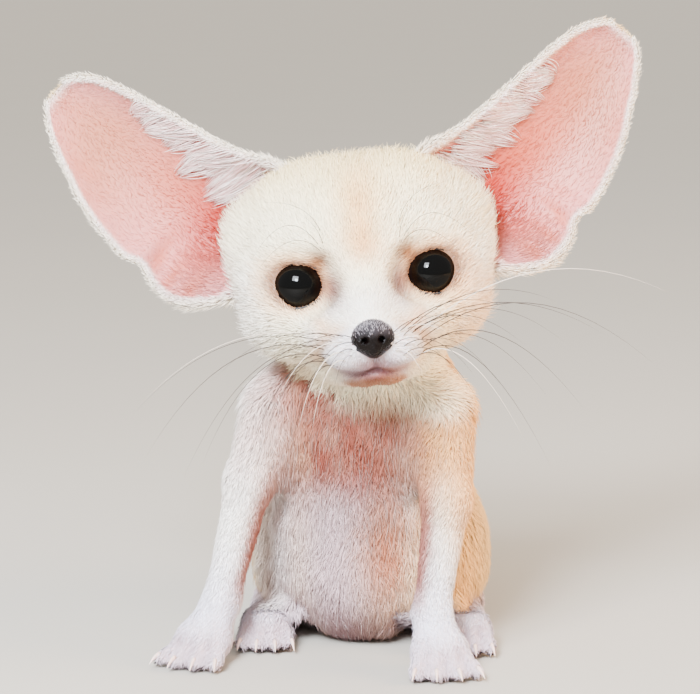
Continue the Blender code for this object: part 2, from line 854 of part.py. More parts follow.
FLOOR = ((0, 0, -0.5 * GAP), (0, 0, -1))
HEAD_CUT = ((0, 4, 68), (0, 0.6, -0.8))
TORSO_CUT = ((0, 4, 60), (0, 0.5, -0.87))
RUMP_CUT = (TORSO.point((0, 54, 12)), TORSO.direction((0, 0.94, -0.34)))
TAIL_CUTS = (0.36, 0.70)

# Frames that lean with each foreleg. Their origin is the top of its back face.
FORELEG_FRAMES = {"left": Place((0, -2, 43), pitch=-19), "right": Place((0, 6, 43), pitch=-18)}
LIMB_BOXES = {
    "foreleg_left": (FORELEG_FRAMES["left"], (9.5, -40, -33), (45, 0, 0)),
    "foreleg_right": (FORELEG_FRAMES["right"], (-60, -40, -33), (-18.5, 0, 0)),
    "forepaw_left": (WORLD, (6.5, -45, -5), (45, -11, 17)),
    "forepaw_right": (WORLD, (-60, -45, -5), (-22, -1, 17)),
    "hind_leg_left": (TORSO, (14, 3, 9.8), (45, 50, 38)),
    "hind_leg_right": (TORSO, (-45, 3, 9.8), (-14, 50, 38)),
    "hind_foot_left": (TORSO, (11.5, -16, -5), (34, 38, 9.8)),
    "hind_foot_right": (TORSO, (-29, -16, -5), (-11.5, 38, 9.8)),
}


def wrist_cut(side):
    """The plane between a foreleg and its paw, facing down."""
    place, low, _ = LIMB_BOXES["foreleg_" + side]
    return (place.point(low), place.direction((0, 0, -1)))


def opposite(plane):
    point, normal = plane
    return (point, -np.array(normal, float))


def finish(pieces):
    """Names the pieces, shades them smooth, and moves the kit so that its box stands centred on the origin."""
    looks = {name: material(name, colour, roughness) for name, (colour, roughness) in LOOKS.items()}
    points = np.concatenate([points_of(piece.data) for piece in pieces.values()])
    middle = 0.5 * (points.min(axis=0) + points.max(axis=0))
    middle[2] = points[:, 2].min()
    to_metres = Matrix.Scale(MM, 4) @ Matrix.Translation(-Vector(middle))
    for name, piece in pieces.items():
        piece.name = name
        piece.data.name = name
        piece.data.transform(to_metres)
        piece.data.materials.clear()
        limb = name.removesuffix("_left").removesuffix("_right")
        piece.data.materials.append(looks[LOOK_OF.get(limb, "coat_cream")])
        piece.data.shade_smooth()
        piece.data.set_sharp_from_angle(angle=math.radians(SHARP_ANGLE))


def main():
    clear_scene()
    flesh = grow("flesh", all_masses(), eye_dents())
    pieces = {}
    pieces["head"] = part_off("head", flesh, [HEAD_CUT], TRIANGLES["head"])
    for name, side in (("ear_left", 1), ("ear_right", -1)):
        ear = ear_leaf(side)
        combine(ear, ear_locks(side), "UNION")
        combine(ear, [swelled("clearance", pieces["head"], GAP)], "DIFFERENCE")
        pieces[name] = ear
    nose = grow("nose", nose_masses(), voxel=0.3)
    thin = nose.modifiers.new("Thin", "DECIMATE")
    thin.ratio = TRIANGLES["nose"] / (2 * len(nose.data.polygons))
    settle(nose)
    seat = swelled("seat", nose, GAP)
    combine(nose, nostrils(), "DIFFERENCE")
    pieces["nose"] = nose
    combine(pieces["head"], [lid_ring(1), lid_ring(-1)], "UNION")
    sockets = [eyeball("socket", side, EYE_RADIUS + GAP) for side in (1, -1)]
    combine(pieces["head"], [seat, mouth_groove(), *sockets], "DIFFERENCE")
    pieces["eye_left"] = eyeball("eye", 1, EYE_RADIUS)
    pieces["eye_right"] = eyeball("eye", -1, EYE_RADIUS)
    pieces["neck"] = part_off("neck", flesh, [opposite(HEAD_CUT), TORSO_CUT], TRIANGLES["neck"])
    torso = part_off("torso", flesh, [opposite(TORSO_CUT), FLOOR, RUMP_CUT], TRIANGLES["torso"])
    combine(torso, [box(*limits, grown=0.5 * GAP) for limits in LIMB_BOXES.values()], "DIFFERENCE")
    pieces["torso"] = torso
    for name, limits in LIMB_BOXES.items():
        limb, side = name.rsplit("_", 1)
        planes = box_planes(*limits) + [FLOOR]
        if limb == "forepaw":
            planes.append(opposite(wrist_cut(side)))
        pieces[name] = part_off(name, flesh, planes, TRIANGLES[limb])
        if limb == "forepaw":
            combine(pieces[name], claws("claw", forepaw_toes(side)), "UNION")
        if limb == "hind_foot":
            combine(pieces[name], claws("claw", hind_toes(side)), "UNION")
    line = tail_line()
    cuts = [int(share * (len(line) - 1)) for share in TAIL_CUTS]
    cuts = [RUMP_CUT] + [(line[cut], line[cut + 1] - line[cut]) for cut in cuts] + [None]
    for name, start, end in zip(("tail_base", "tail_middle", "tail_tip"), cuts[:-1], cuts[1:]):
        planes = [FLOOR, opposite(start)] + ([end] if end else [])
        pieces[name] = part_off(name, flesh, planes, TRIANGLES["tail"])
    bpy.data.objects.remove(flesh, do_unlink=True)
    finish(pieces)


main()
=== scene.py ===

import math

import bpy
import numpy as np
from mathutils import Matrix, Vector
from mathutils.kdtree import KDTree


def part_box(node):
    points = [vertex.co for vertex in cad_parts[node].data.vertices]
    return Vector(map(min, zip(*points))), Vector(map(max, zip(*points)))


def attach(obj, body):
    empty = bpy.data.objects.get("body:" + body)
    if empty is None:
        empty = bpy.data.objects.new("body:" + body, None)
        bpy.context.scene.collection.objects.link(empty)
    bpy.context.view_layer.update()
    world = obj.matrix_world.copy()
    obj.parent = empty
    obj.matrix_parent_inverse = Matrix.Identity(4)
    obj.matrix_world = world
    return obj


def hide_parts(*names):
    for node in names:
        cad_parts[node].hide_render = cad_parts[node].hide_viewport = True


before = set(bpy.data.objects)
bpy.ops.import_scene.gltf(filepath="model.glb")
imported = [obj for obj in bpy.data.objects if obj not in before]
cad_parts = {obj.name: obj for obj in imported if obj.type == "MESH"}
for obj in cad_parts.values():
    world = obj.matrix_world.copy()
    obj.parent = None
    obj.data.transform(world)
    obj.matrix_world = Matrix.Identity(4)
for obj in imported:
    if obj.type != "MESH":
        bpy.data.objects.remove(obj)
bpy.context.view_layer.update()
MM = 0.001
SEED = 11
print("packed nodes:", ", ".join(sorted(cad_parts)))

# %% [markdown]
# ## Frames of reference
#
# The eyes are balls with exact places, so the head's frame is worked out from them, and the body's
# frame from the head's. Sizes are in millimetres along those axes.


# %% Frames of the head and the body
class Place:
    """An origin in metres and three axes, along which places are given in millimetres."""

    def __init__(self, origin=(0, 0, 0), pitch=0.0, roll=0.0, turn=0.0):
        self.origin = np.array(origin, float)
        spin = Matrix.Rotation(math.radians(turn), 3, "Z") @ Matrix.Rotation(math.radians(roll), 3, "Y")
        self.axes = np.array(spin @ Matrix.Rotation(math.radians(pitch), 3, "X"))

    def point(self, local):
        return self.origin + MM * (np.asarray(local, float) @ self.axes.T)

    def direction(self, local):
        return np.asarray(local, float) @ self.axes.T

    def local(self, points):
        return ((np.asarray(points, float) - self.origin) @ self.axes) / MM


def centre_of(node):
    low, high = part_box(node)
    return 0.5 * (np.array(low) + np.array(high))


EYE_SET_BACK = 2.9
EYE_SPACING = 28.0
EYE_FACING = 10.0
EYE_RADIUS = 0.5 * (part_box("eye_left")[1][2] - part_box("eye_left")[0][2]) / MM
HEAD = Place(pitch=-8.0, roll=-6.0, turn=1.5)
HEAD.origin = 0.5 * (centre_of("eye_left") + centre_of("eye_right"))
HEAD.origin = HEAD.point((0, -EYE_SET_BACK, 0))
KIT = Place(HEAD.origin - MM * np.array((0, -19, 86)))
TORSO_TURN = -12.0
TORSO = Place(KIT.point((-2.5, 4, 0)), turn=TORSO_TURN)
SIDES = {"left": 1, "right": -1}
print("eye radius", round(EYE_RADIUS, 2), "mm, head frame at", np.round(HEAD.origin / MM, 1), "mm")

# %% [markdown]
# ## Camera, floor and light
#
# The picture was taken from a little above the eyes with a long lens, which keeps the big ears from
# looking stretched. Two soft panels high on the left give the window-like glint in each eye, a warm one on
# the right keeps the far cheek and flank warm, and two soft suns light the front and the ears' rims.

# %% Camera
TARGET = KIT.point((-3.2, -19, 71.2))
CAMERA_DISTANCE = 0.62
CAMERA_ELEVATION = math.radians(8)
PIXEL = 0.215 * MM
IMAGE_WIDTH = 700
SENSOR = 36.0


def added(operator, name, **settings):
    """Adds something with a menu's operator, with nothing else selected, and names it."""
    bpy.ops.object.select_all(action="DESELECT")
    operator(**settings)
    made = bpy.context.object
    made.name = name
    return made


camera = added(bpy.ops.object.camera_add, "camera")
toward = Vector((0, -math.cos(CAMERA_ELEVATION), math.sin(CAMERA_ELEVATION)))
camera.location = Vector(TARGET) + CAMERA_DISTANCE * toward
camera.rotation_euler = (-toward).to_track_quat("-Z", "Y").to_euler()
camera.data.sensor_width = SENSOR
camera.data.lens = SENSOR * CAMERA_DISTANCE / (IMAGE_WIDTH * PIXEL)
camera.data.clip_start = 0.01
bpy.context.scene.camera = camera
print("lens", round(camera.data.lens, 1), "mm")


# %% Lights
def soft_panel(name, place, size, power, colour):
    panel = added(bpy.ops.object.light_add, name, type="AREA", location=place)
    panel.data.size = size
    panel.data.energy = power
    panel.data.color = colour
    panel.rotation_euler = (Vector(TARGET) - Vector(place)).to_track_quat("-Z", "Y").to_euler()
    return panel


def soft_sun(name, toward, strength, spread, colour):
    """Even light from one side of the sky. It leaves no disc in the eyes."""
    sun = added(bpy.ops.object.light_add, name, type="SUN")
    sun.data.energy = strength
    sun.data.angle = math.radians(spread)
    sun.data.color = colour
    sun.rotation_euler = Vector(toward).to_track_quat("Z", "Y").to_euler()
    sun.visible_glossy = False


soft_panel("window_panel", (-0.24, -0.70, 0.58), 0.32, 28.0, (0.88, 0.94, 1.0))
soft_panel("glint_panel", (-0.20, -0.80, 0.52), 0.15, 18.0, (0.80, 0.90, 1.0))
warm = soft_panel("warm_panel", (0.75, -0.20, 0.22), 0.50, 20.0, (1.0, 0.66, 0.36))
warm.visible_glossy = False
soft_sun("front_sun", (-0.10, -0.75, 0.75), 3.6, 50, (1.0, 0.97, 0.90))
soft_sun("back_sun", (0.25, 0.80, 0.75), 2.2, 30, (1.0, 0.90, 0.76))
world = bpy.data.worlds.new("studio")
world.use_nodes = True
world.node_tree.nodes["Background"].inputs["Color"].default_value = (1.0, 0.97, 0.93, 1.0)
world.node_tree.nodes["Background"].inputs["Strength"].default_value = 0.9
bpy.context.scene.world = world

# %% [markdown]
# ## Shader maths as plain expressions
#
# A material is a graph of nodes. Writing `0.5 + 0.5 * noise` is easier to read than ten lines that make
# and link nodes, so one small class wraps a socket and makes a Math node for each operator.


# %% A wrapper for shader sockets
class Value:
    """A socket of a material's graph. Arithmetic on it adds Math nodes."""

    def __init__(self, graph, socket):
        self.graph = graph
        self.socket = socket

    def maths(self, operation, *others):
        sockets = dict(enumerate((self, *others)))
        return self.graph.node("ShaderNodeMath", {"operation": operation}, sockets)

    def __add__(self, other):
        return self.maths("ADD", other)

    def __sub__(self, other):
        return self.maths("SUBTRACT", other)

    def __mul__(self, other):
        return self.maths("MULTIPLY", other)

    def __rsub__(self, other):
        return (self * -1.0).maths("ADD", other)

    __radd__ = __add__
    __rmul__ = __mul__


class Graph:
    """A new material with one Principled shader."""

    def __init__(self, name):
        self.material = bpy.data.materials.new(name)
        self.material.use_nodes = True
        self.tree = self.material.node_tree
        self.shader = self.tree.nodes["Principled BSDF"]

    def node(self, kind, settings=None, sockets=None, output=0):
        """Adds a node: its settings first, then the values or links of its sockets."""
        made = self.tree.nodes.new(kind)
        for name, value in (settings or {}).items():
            if name == "stops":
                while len(made.color_ramp.elements) < len(value):
                    made.color_ramp.elements.new(1.0)
                for element, (place, colour) in zip(made.color_ramp.elements, value):
                    element.position = place
                    element.color = (*colour, 1.0)
            else:
                setattr(made, name, value)
        for name, value in (sockets or {}).items():
            self.feed(made.inputs[name], value)
        return Value(self, made.outputs[output])

    def feed(self, socket, value):
        if isinstance(value, Value):
            self.tree.links.new(value.socket, socket)
        else:
            socket.default_value = value

    def set(self, **sockets):
        """Sets sockets of the shader, with _ for a space in a socket's name."""
        for name, value in sockets.items():
            self.feed(self.shader.inputs[name.replace("_", " ")], value)

    def place(self):
        return self.node("ShaderNodeTexCoord", output="Object")

    def attribute(self, name, output="Color"):
        return self.node("ShaderNodeAttribute", {"attribute_name": name}, output=output)

    def noise(self, scale, detail=3.0):
        sockets = {"Scale": scale, "Detail": detail, "Vector": self.place()}
        return self.node("ShaderNodeTexNoise", None, sockets)

    def mix(self, share, first, second, blend="MIX"):
        """Two colours mixed by a share from 0 to 1."""
        sockets = {"Factor": share, 6: first, 7: second}
        return self.node("ShaderNodeMix", {"data_type": "RGBA", "blend_type": blend}, sockets, 2)

    def bump(self, height, distance, strength=1.0):
        sockets = {"Height": height, "Distance": distance, "Strength": strength}
        return self.node("ShaderNodeBump", None, sockets)


# %% Floor
FLOOR_SIZE = 60.0
floor = added(bpy.ops.mesh.primitive_plane_add, "floor", size=FLOOR_SIZE)
graph = Graph("pale_floor")
shade = graph.noise(9.0, 4.0)
graph.set(Base_Color=graph.mix(shade * 0.5, (0.38, 0.35, 0.31, 1), (0.35, 0.32, 0.285, 1)), Roughness=0.65)
floor.data.materials.append(graph.material)
print("floor at", floor.location.z, "m")

# %% [markdown]
# ## Working by hand in code
#
# Each operator acts on what is selected, so a few helpers keep the selection small, read a mesh's points
# as one array, and put moved points back. Moving points by a formula is what a sculpting brush does.


# %% Helpers for meshes
def pick(*things):
    """Selects only these objects, the first one active."""
    bpy.ops.object.select_all(action="DESELECT")
    for thing in things:
        thing.select_set(True)
    bpy.context.view_layer.objects.active = things[0]


def points_of(thing):
    flat = np.empty(len(thing.data.vertices) * 3, np.float32)
    thing.data.vertices.foreach_get("co", flat)
    return flat.reshape(-1, 3).astype(float)


def normals_of(thing):
    flat = np.empty(len(thing.data.vertices) * 3, np.float32)
    thing.data.vertex_normals.foreach_get("vector", flat)
    return flat.reshape(-1, 3).astype(float)


def edges_of(thing):
    flat = np.empty(len(thing.data.edges) * 2, np.int32)
    thing.data.edges.foreach_get("vertices", flat)
    return flat.reshape(-1, 2)


def move_points(thing, points):
    thing.data.vertices.foreach_set("co", np.asarray(points, np.float32).ravel())
    thing.data.update()


def store(thing, name, kind, values):
    """Keeps a value for each point of a mesh."""
    field = {"FLOAT": "value", "FLOAT_VECTOR": "vector", "FLOAT_COLOR": "color"}[kind]
    made = thing.data.attributes.new(name, kind, "POINT")
    made.data.foreach_set(field, np.asarray(values, np.float32).ravel())


def stored(thing, name, width):
    field = {1: "value", 3: "vector", 4: "color"}[width]
    flat = np.empty(len(thing.data.vertices) * width, np.float32)
    thing.data.attributes[name].data.foreach_get(field, flat)
    return flat.reshape(-1, width).astype(float) if width > 1 else flat.astype(float)


def plant(thing, hair, lie, crease):
    """Keeps what the coat needs to know at each point: the hair's sizes, its lie, and folds of the skin."""
    store(thing, "hair", "FLOAT_COLOR", hair)
    store(thing, "lie", "FLOAT_VECTOR", lie)
    store(thing, "crease", "FLOAT", crease)


def finish_modifier(thing, kind, **settings):
    """Adds a modifier with its settings and applies it, as the menu does."""
    pick(thing)
    modifier = thing.modifiers.new(kind.title(), kind)
    for name, value in settings.items():
        setattr(modifier, name, value)
    bpy.ops.object.modifier_apply(modifier=modifier.name)


def edited(thing, operator, **settings):
    """Runs one operator on the whole of a mesh in edit mode."""
    pick(thing)
    bpy.ops.object.mode_set(mode="EDIT")
    bpy.ops.mesh.select_all(action="SELECT")
    operator(**settings)
    bpy.ops.object.mode_set(mode="OBJECT")


def settle(thing):
    """Puts an object's place into its mesh, so that the object itself is at the origin."""
    pick(thing)
    bpy.ops.object.transform_apply(location=True, rotation=True, scale=True)


def joined(name, *things):
    pick(*things)
    bpy.ops.object.join()
    things[0].name = name
    return things[0]


class Web:
    """The net of edges of a mesh, for evening out values over its surface."""

    def __init__(self, edges, count):
        self.edges = edges
        self.count = count
        self.links = np.maximum(np.bincount(edges.ravel(), minlength=count), 1)

    def neighbours_mean(self, values):
        one, other = self.edges.T
        columns = values.reshape(self.count, -1).T
        mean = [
            np.bincount(one, column[other], self.count) + np.bincount(other, column[one], self.count)
            for column in columns
        ]
        return (np.array(mean) / self.links).T.reshape(values.shape)

    def evened(self, values, rounds, share=0.5):
        for _ in range(rounds):
            values = values + share * (self.neighbours_mean(values) - values)
        return values

    def relaxed(self, points, rounds):
        """Smooths a surface without shrinking it: a step in, then a slightly longer step out."""
        for _ in range(rounds):
            points = self.evened(points, 1, 0.55)
            points = self.evened(points, 1, -0.58)
        return points


def unit(vectors):
    return vectors / np.maximum(np.linalg.norm(vectors, axis=-1, keepdims=True), 1e-9)


def ramp(values, start, end):
    """0 before start, 1 after end, with a soft step between."""
    share = np.clip((values - start) / (end - start), 0.0, 1.0)
    return share * share * (3 - 2 * share)


def spot(distances, width):
    """1 at the middle, falling off softly over a width."""
    return np.exp(-((distances / width) ** 2))


def smooth_path(points, count):
    """So many points along a smooth curve through a few given ones."""
    points = np.array(points, float)
    padded = np.vstack([2 * points[0] - points[1], points, 2 * points[-1] - points[-2]])
    found = []
    for place in np.linspace(0, len(points) - 1, count):
        start = min(int(place), len(points) - 2)
        t = place - start
        before, one, two, after = padded[start : start + 4]
        bend = t**2 * (before - 2.5 * one + 2 * two - 0.5 * after)
        twist = t**3 * (1.5 * (one - two) + 0.5 * (after - before))
        found.append(one + 0.5 * t * (two - before) + bend + twist)
    return np.array(found)


def distance_to(path, points):
    """Distance from each point to a line of points, and how far along the line that is, from 0 to 1."""
    best = np.full(len(points), 1e9)
    along = np.zeros(len(points))
    for number, (start, end) in enumerate(zip(path[:-1], path[1:])):
        run = end - start
        share = np.clip((points - start) @ run / (run @ run), 0, 1)
        away = np.linalg.norm(points - start - share[:, None] * run, axis=1)
        nearer = away < best
        best[nearer] = away[nearer]
        along[nearer] = (number + share[nearer]) / (len(path) - 1)
    return best, along


# %% [markdown]
# ## The skin of the body
#
# The solids of flesh meet with hair-thin gaps. Copies of them are swelled a little so that they overlap,
# joined, and given one new surface by a voxel remesh, which closes every seam. A few rounds of smoothing
# take the facets away. The face needs finer points than the flanks, so its faces are subdivided there.

# %% One surface over the flesh
FLESH = [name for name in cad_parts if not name.startswith(("ear", "eye", "nose"))]
OVERLAP = 0.35
UNDERLAPS = (0.45, 0.45, 1.3)
SKIN_VOXEL = 1.1


def copied(node):
    """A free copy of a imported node, with its loose triangles merged."""
    made = bpy.data.objects.new(node + "_copy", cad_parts[node].data.copy())
    bpy.context.scene.collection.objects.link(made)
    made.data.materials.clear()
    edited(made, bpy.ops.mesh.remove_doubles, threshold=0.01 * MM)
    return made


def ball(centre, radii):
    """An extra round mass, placed in the head's frame."""
    made = added(bpy.ops.mesh.primitive_uv_sphere_add, "mass", segments=32, ring_count=20)
    move_points(made, HEAD.point(points_of(made) * radii + np.array(centre)))
    return made


# The eyes and the nose go in as well, a little shrunk, so that no hollow is left around them. The balls
# fill out the two whisker pads and the chin.
MUZZLE = {
    "pad_left": ((4.7, -11.2, -15.9), (6.2, 6.2, 4.3)),
    "pad_right": ((-4.7, -11.2, -15.9), (6.2, 6.2, 4.3)),
    "chin": ((0, -9.0, -20.2), (5.0, 5.2, 2.6)),
}
copies = [copied(node) for node in FLESH]
seats = [copied(node) for node in ("eye_left", "eye_right", "nose")]
masses = [ball(*sizes) for sizes in MUZZLE.values()]
node_tree = KDTree(sum(len(copy.data.vertices) for copy in copies))
node_of_point = []
for number, copy in enumerate(copies):
    for place in points_of(copy):
        node_tree.insert(Vector(place), len(node_of_point))
        node_of_point.append(number)
    move_points(copy, points_of(copy) + OVERLAP * MM * normals_of(copy))
for seat, depth in zip(seats, UNDERLAPS):
    move_points(seat, points_of(seat) - depth * MM * normals_of(seat))
node_tree.balance()
skin = joined("skin", *copies, *seats, *masses)
finish_modifier(skin, "REMESH", mode="VOXEL", voxel_size=SKIN_VOXEL * MM)
web = Web(edges_of(skin), len(skin.data.vertices))
move_points(skin, web.relaxed(points_of(skin), 14))
print("skin:", len(skin.data.polygons), "faces")


# %% Finer faces on the face
def refine(thing, chosen):
    """Splits the faces whose middles are chosen into four."""
    middles = np.empty(len(thing.data.polygons) * 3, np.float32)
    thing.data.polygons.foreach_get("center", middles)
    mask = chosen(HEAD.local(middles.reshape(-1, 3)))
    pick(thing)
    for kind in (thing.data.vertices, thing.data.edges):
        kind.foreach_set("select", np.zeros(len(kind), bool))
    thing.data.polygons.foreach_set("select", mask)
    bpy.ops.object.mode_set(mode="EDIT")
    bpy.ops.mesh.select_mode(type="FACE")
    bpy.ops.mesh.subdivide(number_cuts=1)
    bpy.ops.object.mode_set(mode="OBJECT")
    print("refined", int(mask.sum()), "faces, now", len(thing.data.polygons))


EYE_AT = np.array((EYE_SPACING / 2, EYE_SET_BACK, 0.0))


def mirrored(local):
    return np.abs(local) * (1, 0, 0) + local * (0, 1, 1)


# Places on the face, in the head's frame. Those with two numbers are x and z on its left half.
PAD_MIDDLE = (0, -10, -16)
NOSE_SEAT = (0, -16.2, -13.2)
INNER_CORNER = (7.2, -1.8)
BROW = (9.0, 4.2)
BELOW_CORNER = (10.0, -9.0)
UPPER_LIP_HEIGHT = -18.2
LOWER_LIP_HEIGHT = -20.9
MOUTH_REACH = 9.5


def eye_distance(local):
    return np.linalg.norm(mirrored(local) - EYE_AT, axis=1)


def muzzle_distance(local):
    return np.linalg.norm((local - PAD_MIDDLE) / (1.25, 1.0, 1.0), axis=1)


def on_face(local):
    return (local[:, 1] < 9) & (np.abs(local[:, 0]) < 25) & (local[:, 2] > -27) & (local[:, 2] < 12)


def by_eyes_or_muzzle(local):
    return (eye_distance(local) < 9.5) | (muzzle_distance(local) < 9.5)


refine(skin, on_face)
refine(skin, by_eyes_or_muzzle)

# %% [markdown]
# ## Where the hair grows, and how
#
# On a fennec kit the hair starts short at the nose and lengthens over the brow to the back, it lies
# backwards over the head and down the body and legs, and it runs out along the tail. A length, a width,
# a lift and a direction are worked out for each point of the skin from the part of the body that it is
# on, and then evened out over the surface, so that no border shows.

# %% Length, width, lift and lie of the hair
# Each row: length, width in millimetres, lift in degrees, tufts for each square millimetre.
HAIR = {
    "head": (2.6, 0.30, 26, 7.0),
    "neck": (4.6, 0.30, 24, 6.5),
    "torso": (5.0, 0.31, 20, 6.0),
    "foreleg": (2.5, 0.22, 17, 8.0),
    "forepaw": (1.6, 0.21, 20, 7.0),
    "hind_leg": (4.4, 0.30, 20, 6.0),
    "hind_foot": (1.8, 0.23, 20, 6.4),
    "tail_base": (5.4, 0.32, 20, 5.5),
    "tail_middle": (6.4, 0.32, 22, 5.5),
    "tail_tip": (6.4, 0.32, 22, 5.8),
}
FORELEGS = {
    "left": ((17, -4, 55), (18, -12.5, 37), (14.6, -18.5, 12.5), (16.4, -22.0, 4.8)),
    "right": ((-20, 2, 54), (-25.5, -3, 39), (-31.5, -9, 13.5), (-35.5, -12.5, 5.0)),
}
FOREPAW_AIM = {"left": 8.0, "right": -24.0}
HIND_FEET = {"left": ((23, 27, 5.0), (22.5, -0.5, 4.6)), "right": ((-21, 33, 5.0), (-22, 4.0, 4.6))}
TAIL_LENGTH = 84.0


def tail_line():
    """Middle line of the tail, root to tip, in metres: it drops to the floor and curls round behind."""
    steps = 16
    place = TORSO.point((0, 51, 12))
    heading = TORSO_TURN + 78.0
    line = [place]
    for number in range(1, steps + 1):
        heading += 1.5 + 8.0 * number / steps
        angle = math.radians(heading)
        place = place + MM * TAIL_LENGTH / steps * np.array((math.cos(angle), math.sin(angle), 0.0))
        line.append(place)
    return np.array(line)


TAIL_LINE = tail_line()


def limb_of(node):
    return node.removesuffix("_left").removesuffix("_right")


def nearest_nodes(points):
    found = [node_of_point[node_tree.find(Vector(place))[1]] for place in points]
    return np.array([FLESH[number] for number in found])


def seen_distance(path, local):
    """Distance from a line as it looks from in front of the face, where depth hardly counts."""
    return distance_to(np.asarray(path) * (1, 0.2, 1), local * (1, 0.2, 1))


def line_direction(path, points):
    """The way a line of points runs where it is nearest to each point."""
    _, along = distance_to(path, points)
    places = np.clip((along * (len(path) - 1)).astype(int), 0, len(path) - 2)
    return unit(np.diff(path, axis=0))[places]


def body_lie(points, nodes):
    """Which way the hair of each point lies, before it is laid onto the skin."""
    head = HEAD.local(points)
    away = head - (0, -17.5, -15.0)
    away[:, 2] -= 0.4 * np.maximum(0, -6 - head[:, 2])
    lie = HEAD.direction(unit(away))
    torso = TORSO.local(points)
    down = np.zeros_like(points) + (0, 0.15, -1.0)
    down[:, 1] += 0.35 * ramp(torso[:, 1], 5, 35)
    down[:, 1] += 0.8 * ramp(torso[:, 1], 30, 55) * ramp(-torso[:, 2], -30, -8)
    body = np.isin([limb_of(node) for node in nodes], ("neck", "torso", "hind_leg"))
    lie[body] = unit(down[body])
    for side in SIDES:
        legs = np.isin(nodes, ("foreleg_" + side, "forepaw_" + side))
        path = KIT.point(FORELEGS[side])
        lie[legs] = line_direction(path, points[legs])
        aim = math.radians(FOREPAW_AIM[side])
        toes = nodes == "forepaw_" + side
        lie[toes] = unit(0.6 * lie[toes] + np.array((math.sin(aim), -math.cos(aim), -0.25)))
        heel, ball = KIT.point(HIND_FEET[side])
        lie[nodes == "hind_foot_" + side] = unit(ball - heel)
    tail = np.char.startswith(nodes.astype(str), "tail")
    lie[tail] = line_direction(TAIL_LINE, points[tail])
    return lie


def hair_of(points, nodes):
    """Length, width, lift and cover of the hair at each point."""
    hair = np.array([HAIR[limb_of(node)] for node in nodes], float)
    local = HEAD.local(points)
    head = nodes == "head"
    back = ramp(local[:, 1], -14, 14)
    cheek = ramp(np.abs(local[:, 0]), 12, 22) * ramp(-local[:, 2], 0, 10)
    base = np.linalg.norm((mirrored(local) - (27, 9, 6)) / (1, 1.4, 1.3), axis=1)
    face_length = 1.15 + 2.0 * back + 1.3 * cheek + 0.6 * ramp(local[:, 2], 8, 20) + 1.6 * spot(base, 9)
    face_length *= 1 - 0.5 * spot(eye_distance(local) - EYE_RADIUS, 2.2)
    hair[head, 0] = face_length[head]
    hair[head, 1] = (0.14 + 0.034 * face_length)[head]
    hair[head, 3] = (11.5 - 1.3 * face_length)[head]
    torso = TORSO.local(points)
    chest = (nodes == "torso") | (nodes == "neck")
    front = chest * ramp(-torso[:, 1], 2, 10)
    hair[:, 0] -= 0.9 * front
    return hair


def laid(vectors, normals):
    """Directions laid flat onto the skin."""
    return unit(vectors - (vectors * normals).sum(axis=1)[:, None] * normals)


points = points_of(skin)
nodes = nearest_nodes(points)
web = Web(edges_of(skin), len(points))
hair = web.evened(hair_of(points, nodes), 24)
lie = body_lie(points, nodes)
for _ in range(3):
    lie = laid(web.evened(lie, 8), normals_of(skin))
print("hair from", hair[:, 0].min().round(2), "to", hair[:, 0].max().round(2), "mm")

# %% [markdown]
# ## Sculpting the face and feet
#
# The skin goes in by the depth of the coat, which is the height that a tuft of its length and lift stands
# to.

# %% The skin goes in, and grooves are pressed
DEPTH_SHARE = 0.34
CHEEK_PINCH = 2.2
HALF_MOUTH = np.array(
    [(9.6, -3.0, -17.6), (8.4, -7.6, -19.0), (5.2, -12.6, -20.0), (2.4, -14.6, -20.1), (0, -15.0, -19.7)]
)
MOUTH_PATH = smooth_path(np.vstack([HALF_MOUTH * (-1, 1, 1), HALF_MOUTH[-2::-1]]), 33)
PAD_EDGE = ((3.2, -13.0, -10.2), (8.4, -11.0, -11.2), (11.6, -7.0, -14.6), (11.4, -3.0, -18.2))
PAD_EDGE = smooth_path(PAD_EDGE, 16)
CLEFT_PATH = np.array([(0, -18.6, -15.6), (0, -16.9, -17.4), (0, -15.6, -19.5)])


CREASED = (
    ("foreleg_left", "forepaw_left"),
    ("foreleg_right", "forepaw_right"),
    ("hind_leg_left", "hind_foot_left"),
    ("hind_leg_right", "hind_foot_right"),
    ("hind_foot_left",),
    ("hind_foot_right",),
)


def toe_fan(middle, aim, spread, reach):
    """Four toes fanned out from the middle of a foot, as (start, end) of each; aim turns towards +X."""
    aim = math.radians(aim)
    ahead = np.array((math.sin(aim), -math.cos(aim), 0.0))
    beside = np.array((math.cos(aim), math.sin(aim), 0.0))
    toes = []
    for number in range(4):
        share = number / 3 - 0.5
        angle = math.radians(spread * share)
        start = np.array((middle[0], middle[1], 4.2)) + 8.4 * share * beside + 1.5 * ahead
        end = start + (reach - 2.6 * abs(share)) * (math.cos(angle) * ahead + math.sin(angle) * beside)
        end[2] = 1.9
        toes.append((start, end))
    return toes


def all_toes():
    """The toes of the four feet, one list for each foot."""
    feet = []
    for side in SIDES:
        feet.append(toe_fan(FORELEGS[side][3], FOREPAW_AIM[side], 44, 7.4))
        feet.append(toe_fan(HIND_FEET[side][1], 0.0, 26, 7.2))
    return feet


def toe_clefts():
    """A line between each pair of toes, over the top of the foot and down in front."""
    lines = []
    for toes in all_toes():
        for (start, end), (next_start, next_end) in zip(toes[:-1], toes[1:]):
            first = 0.5 * (start + next_start)
            last = 0.5 * (end + next_end)
            ahead = last - first
            top = first + 0.25 * ahead + (0, 0, 2.6)
            lines.append(np.array([top, last + (0, 0, 1.6), last + 0.2 * ahead - (0, 0, 1.5)]))
    return lines


def pressed(points, normals, local, path, width, depth):
    """Points pushed in along a line, most in its middle."""
    away, along = seen_distance(path, local)
    fade = np.sin(math.pi * np.clip(0.08 + 0.84 * along, 0, 1)) ** 0.5
    return points - MM * depth * (spot(away, width) * fade)[:, None] * normals


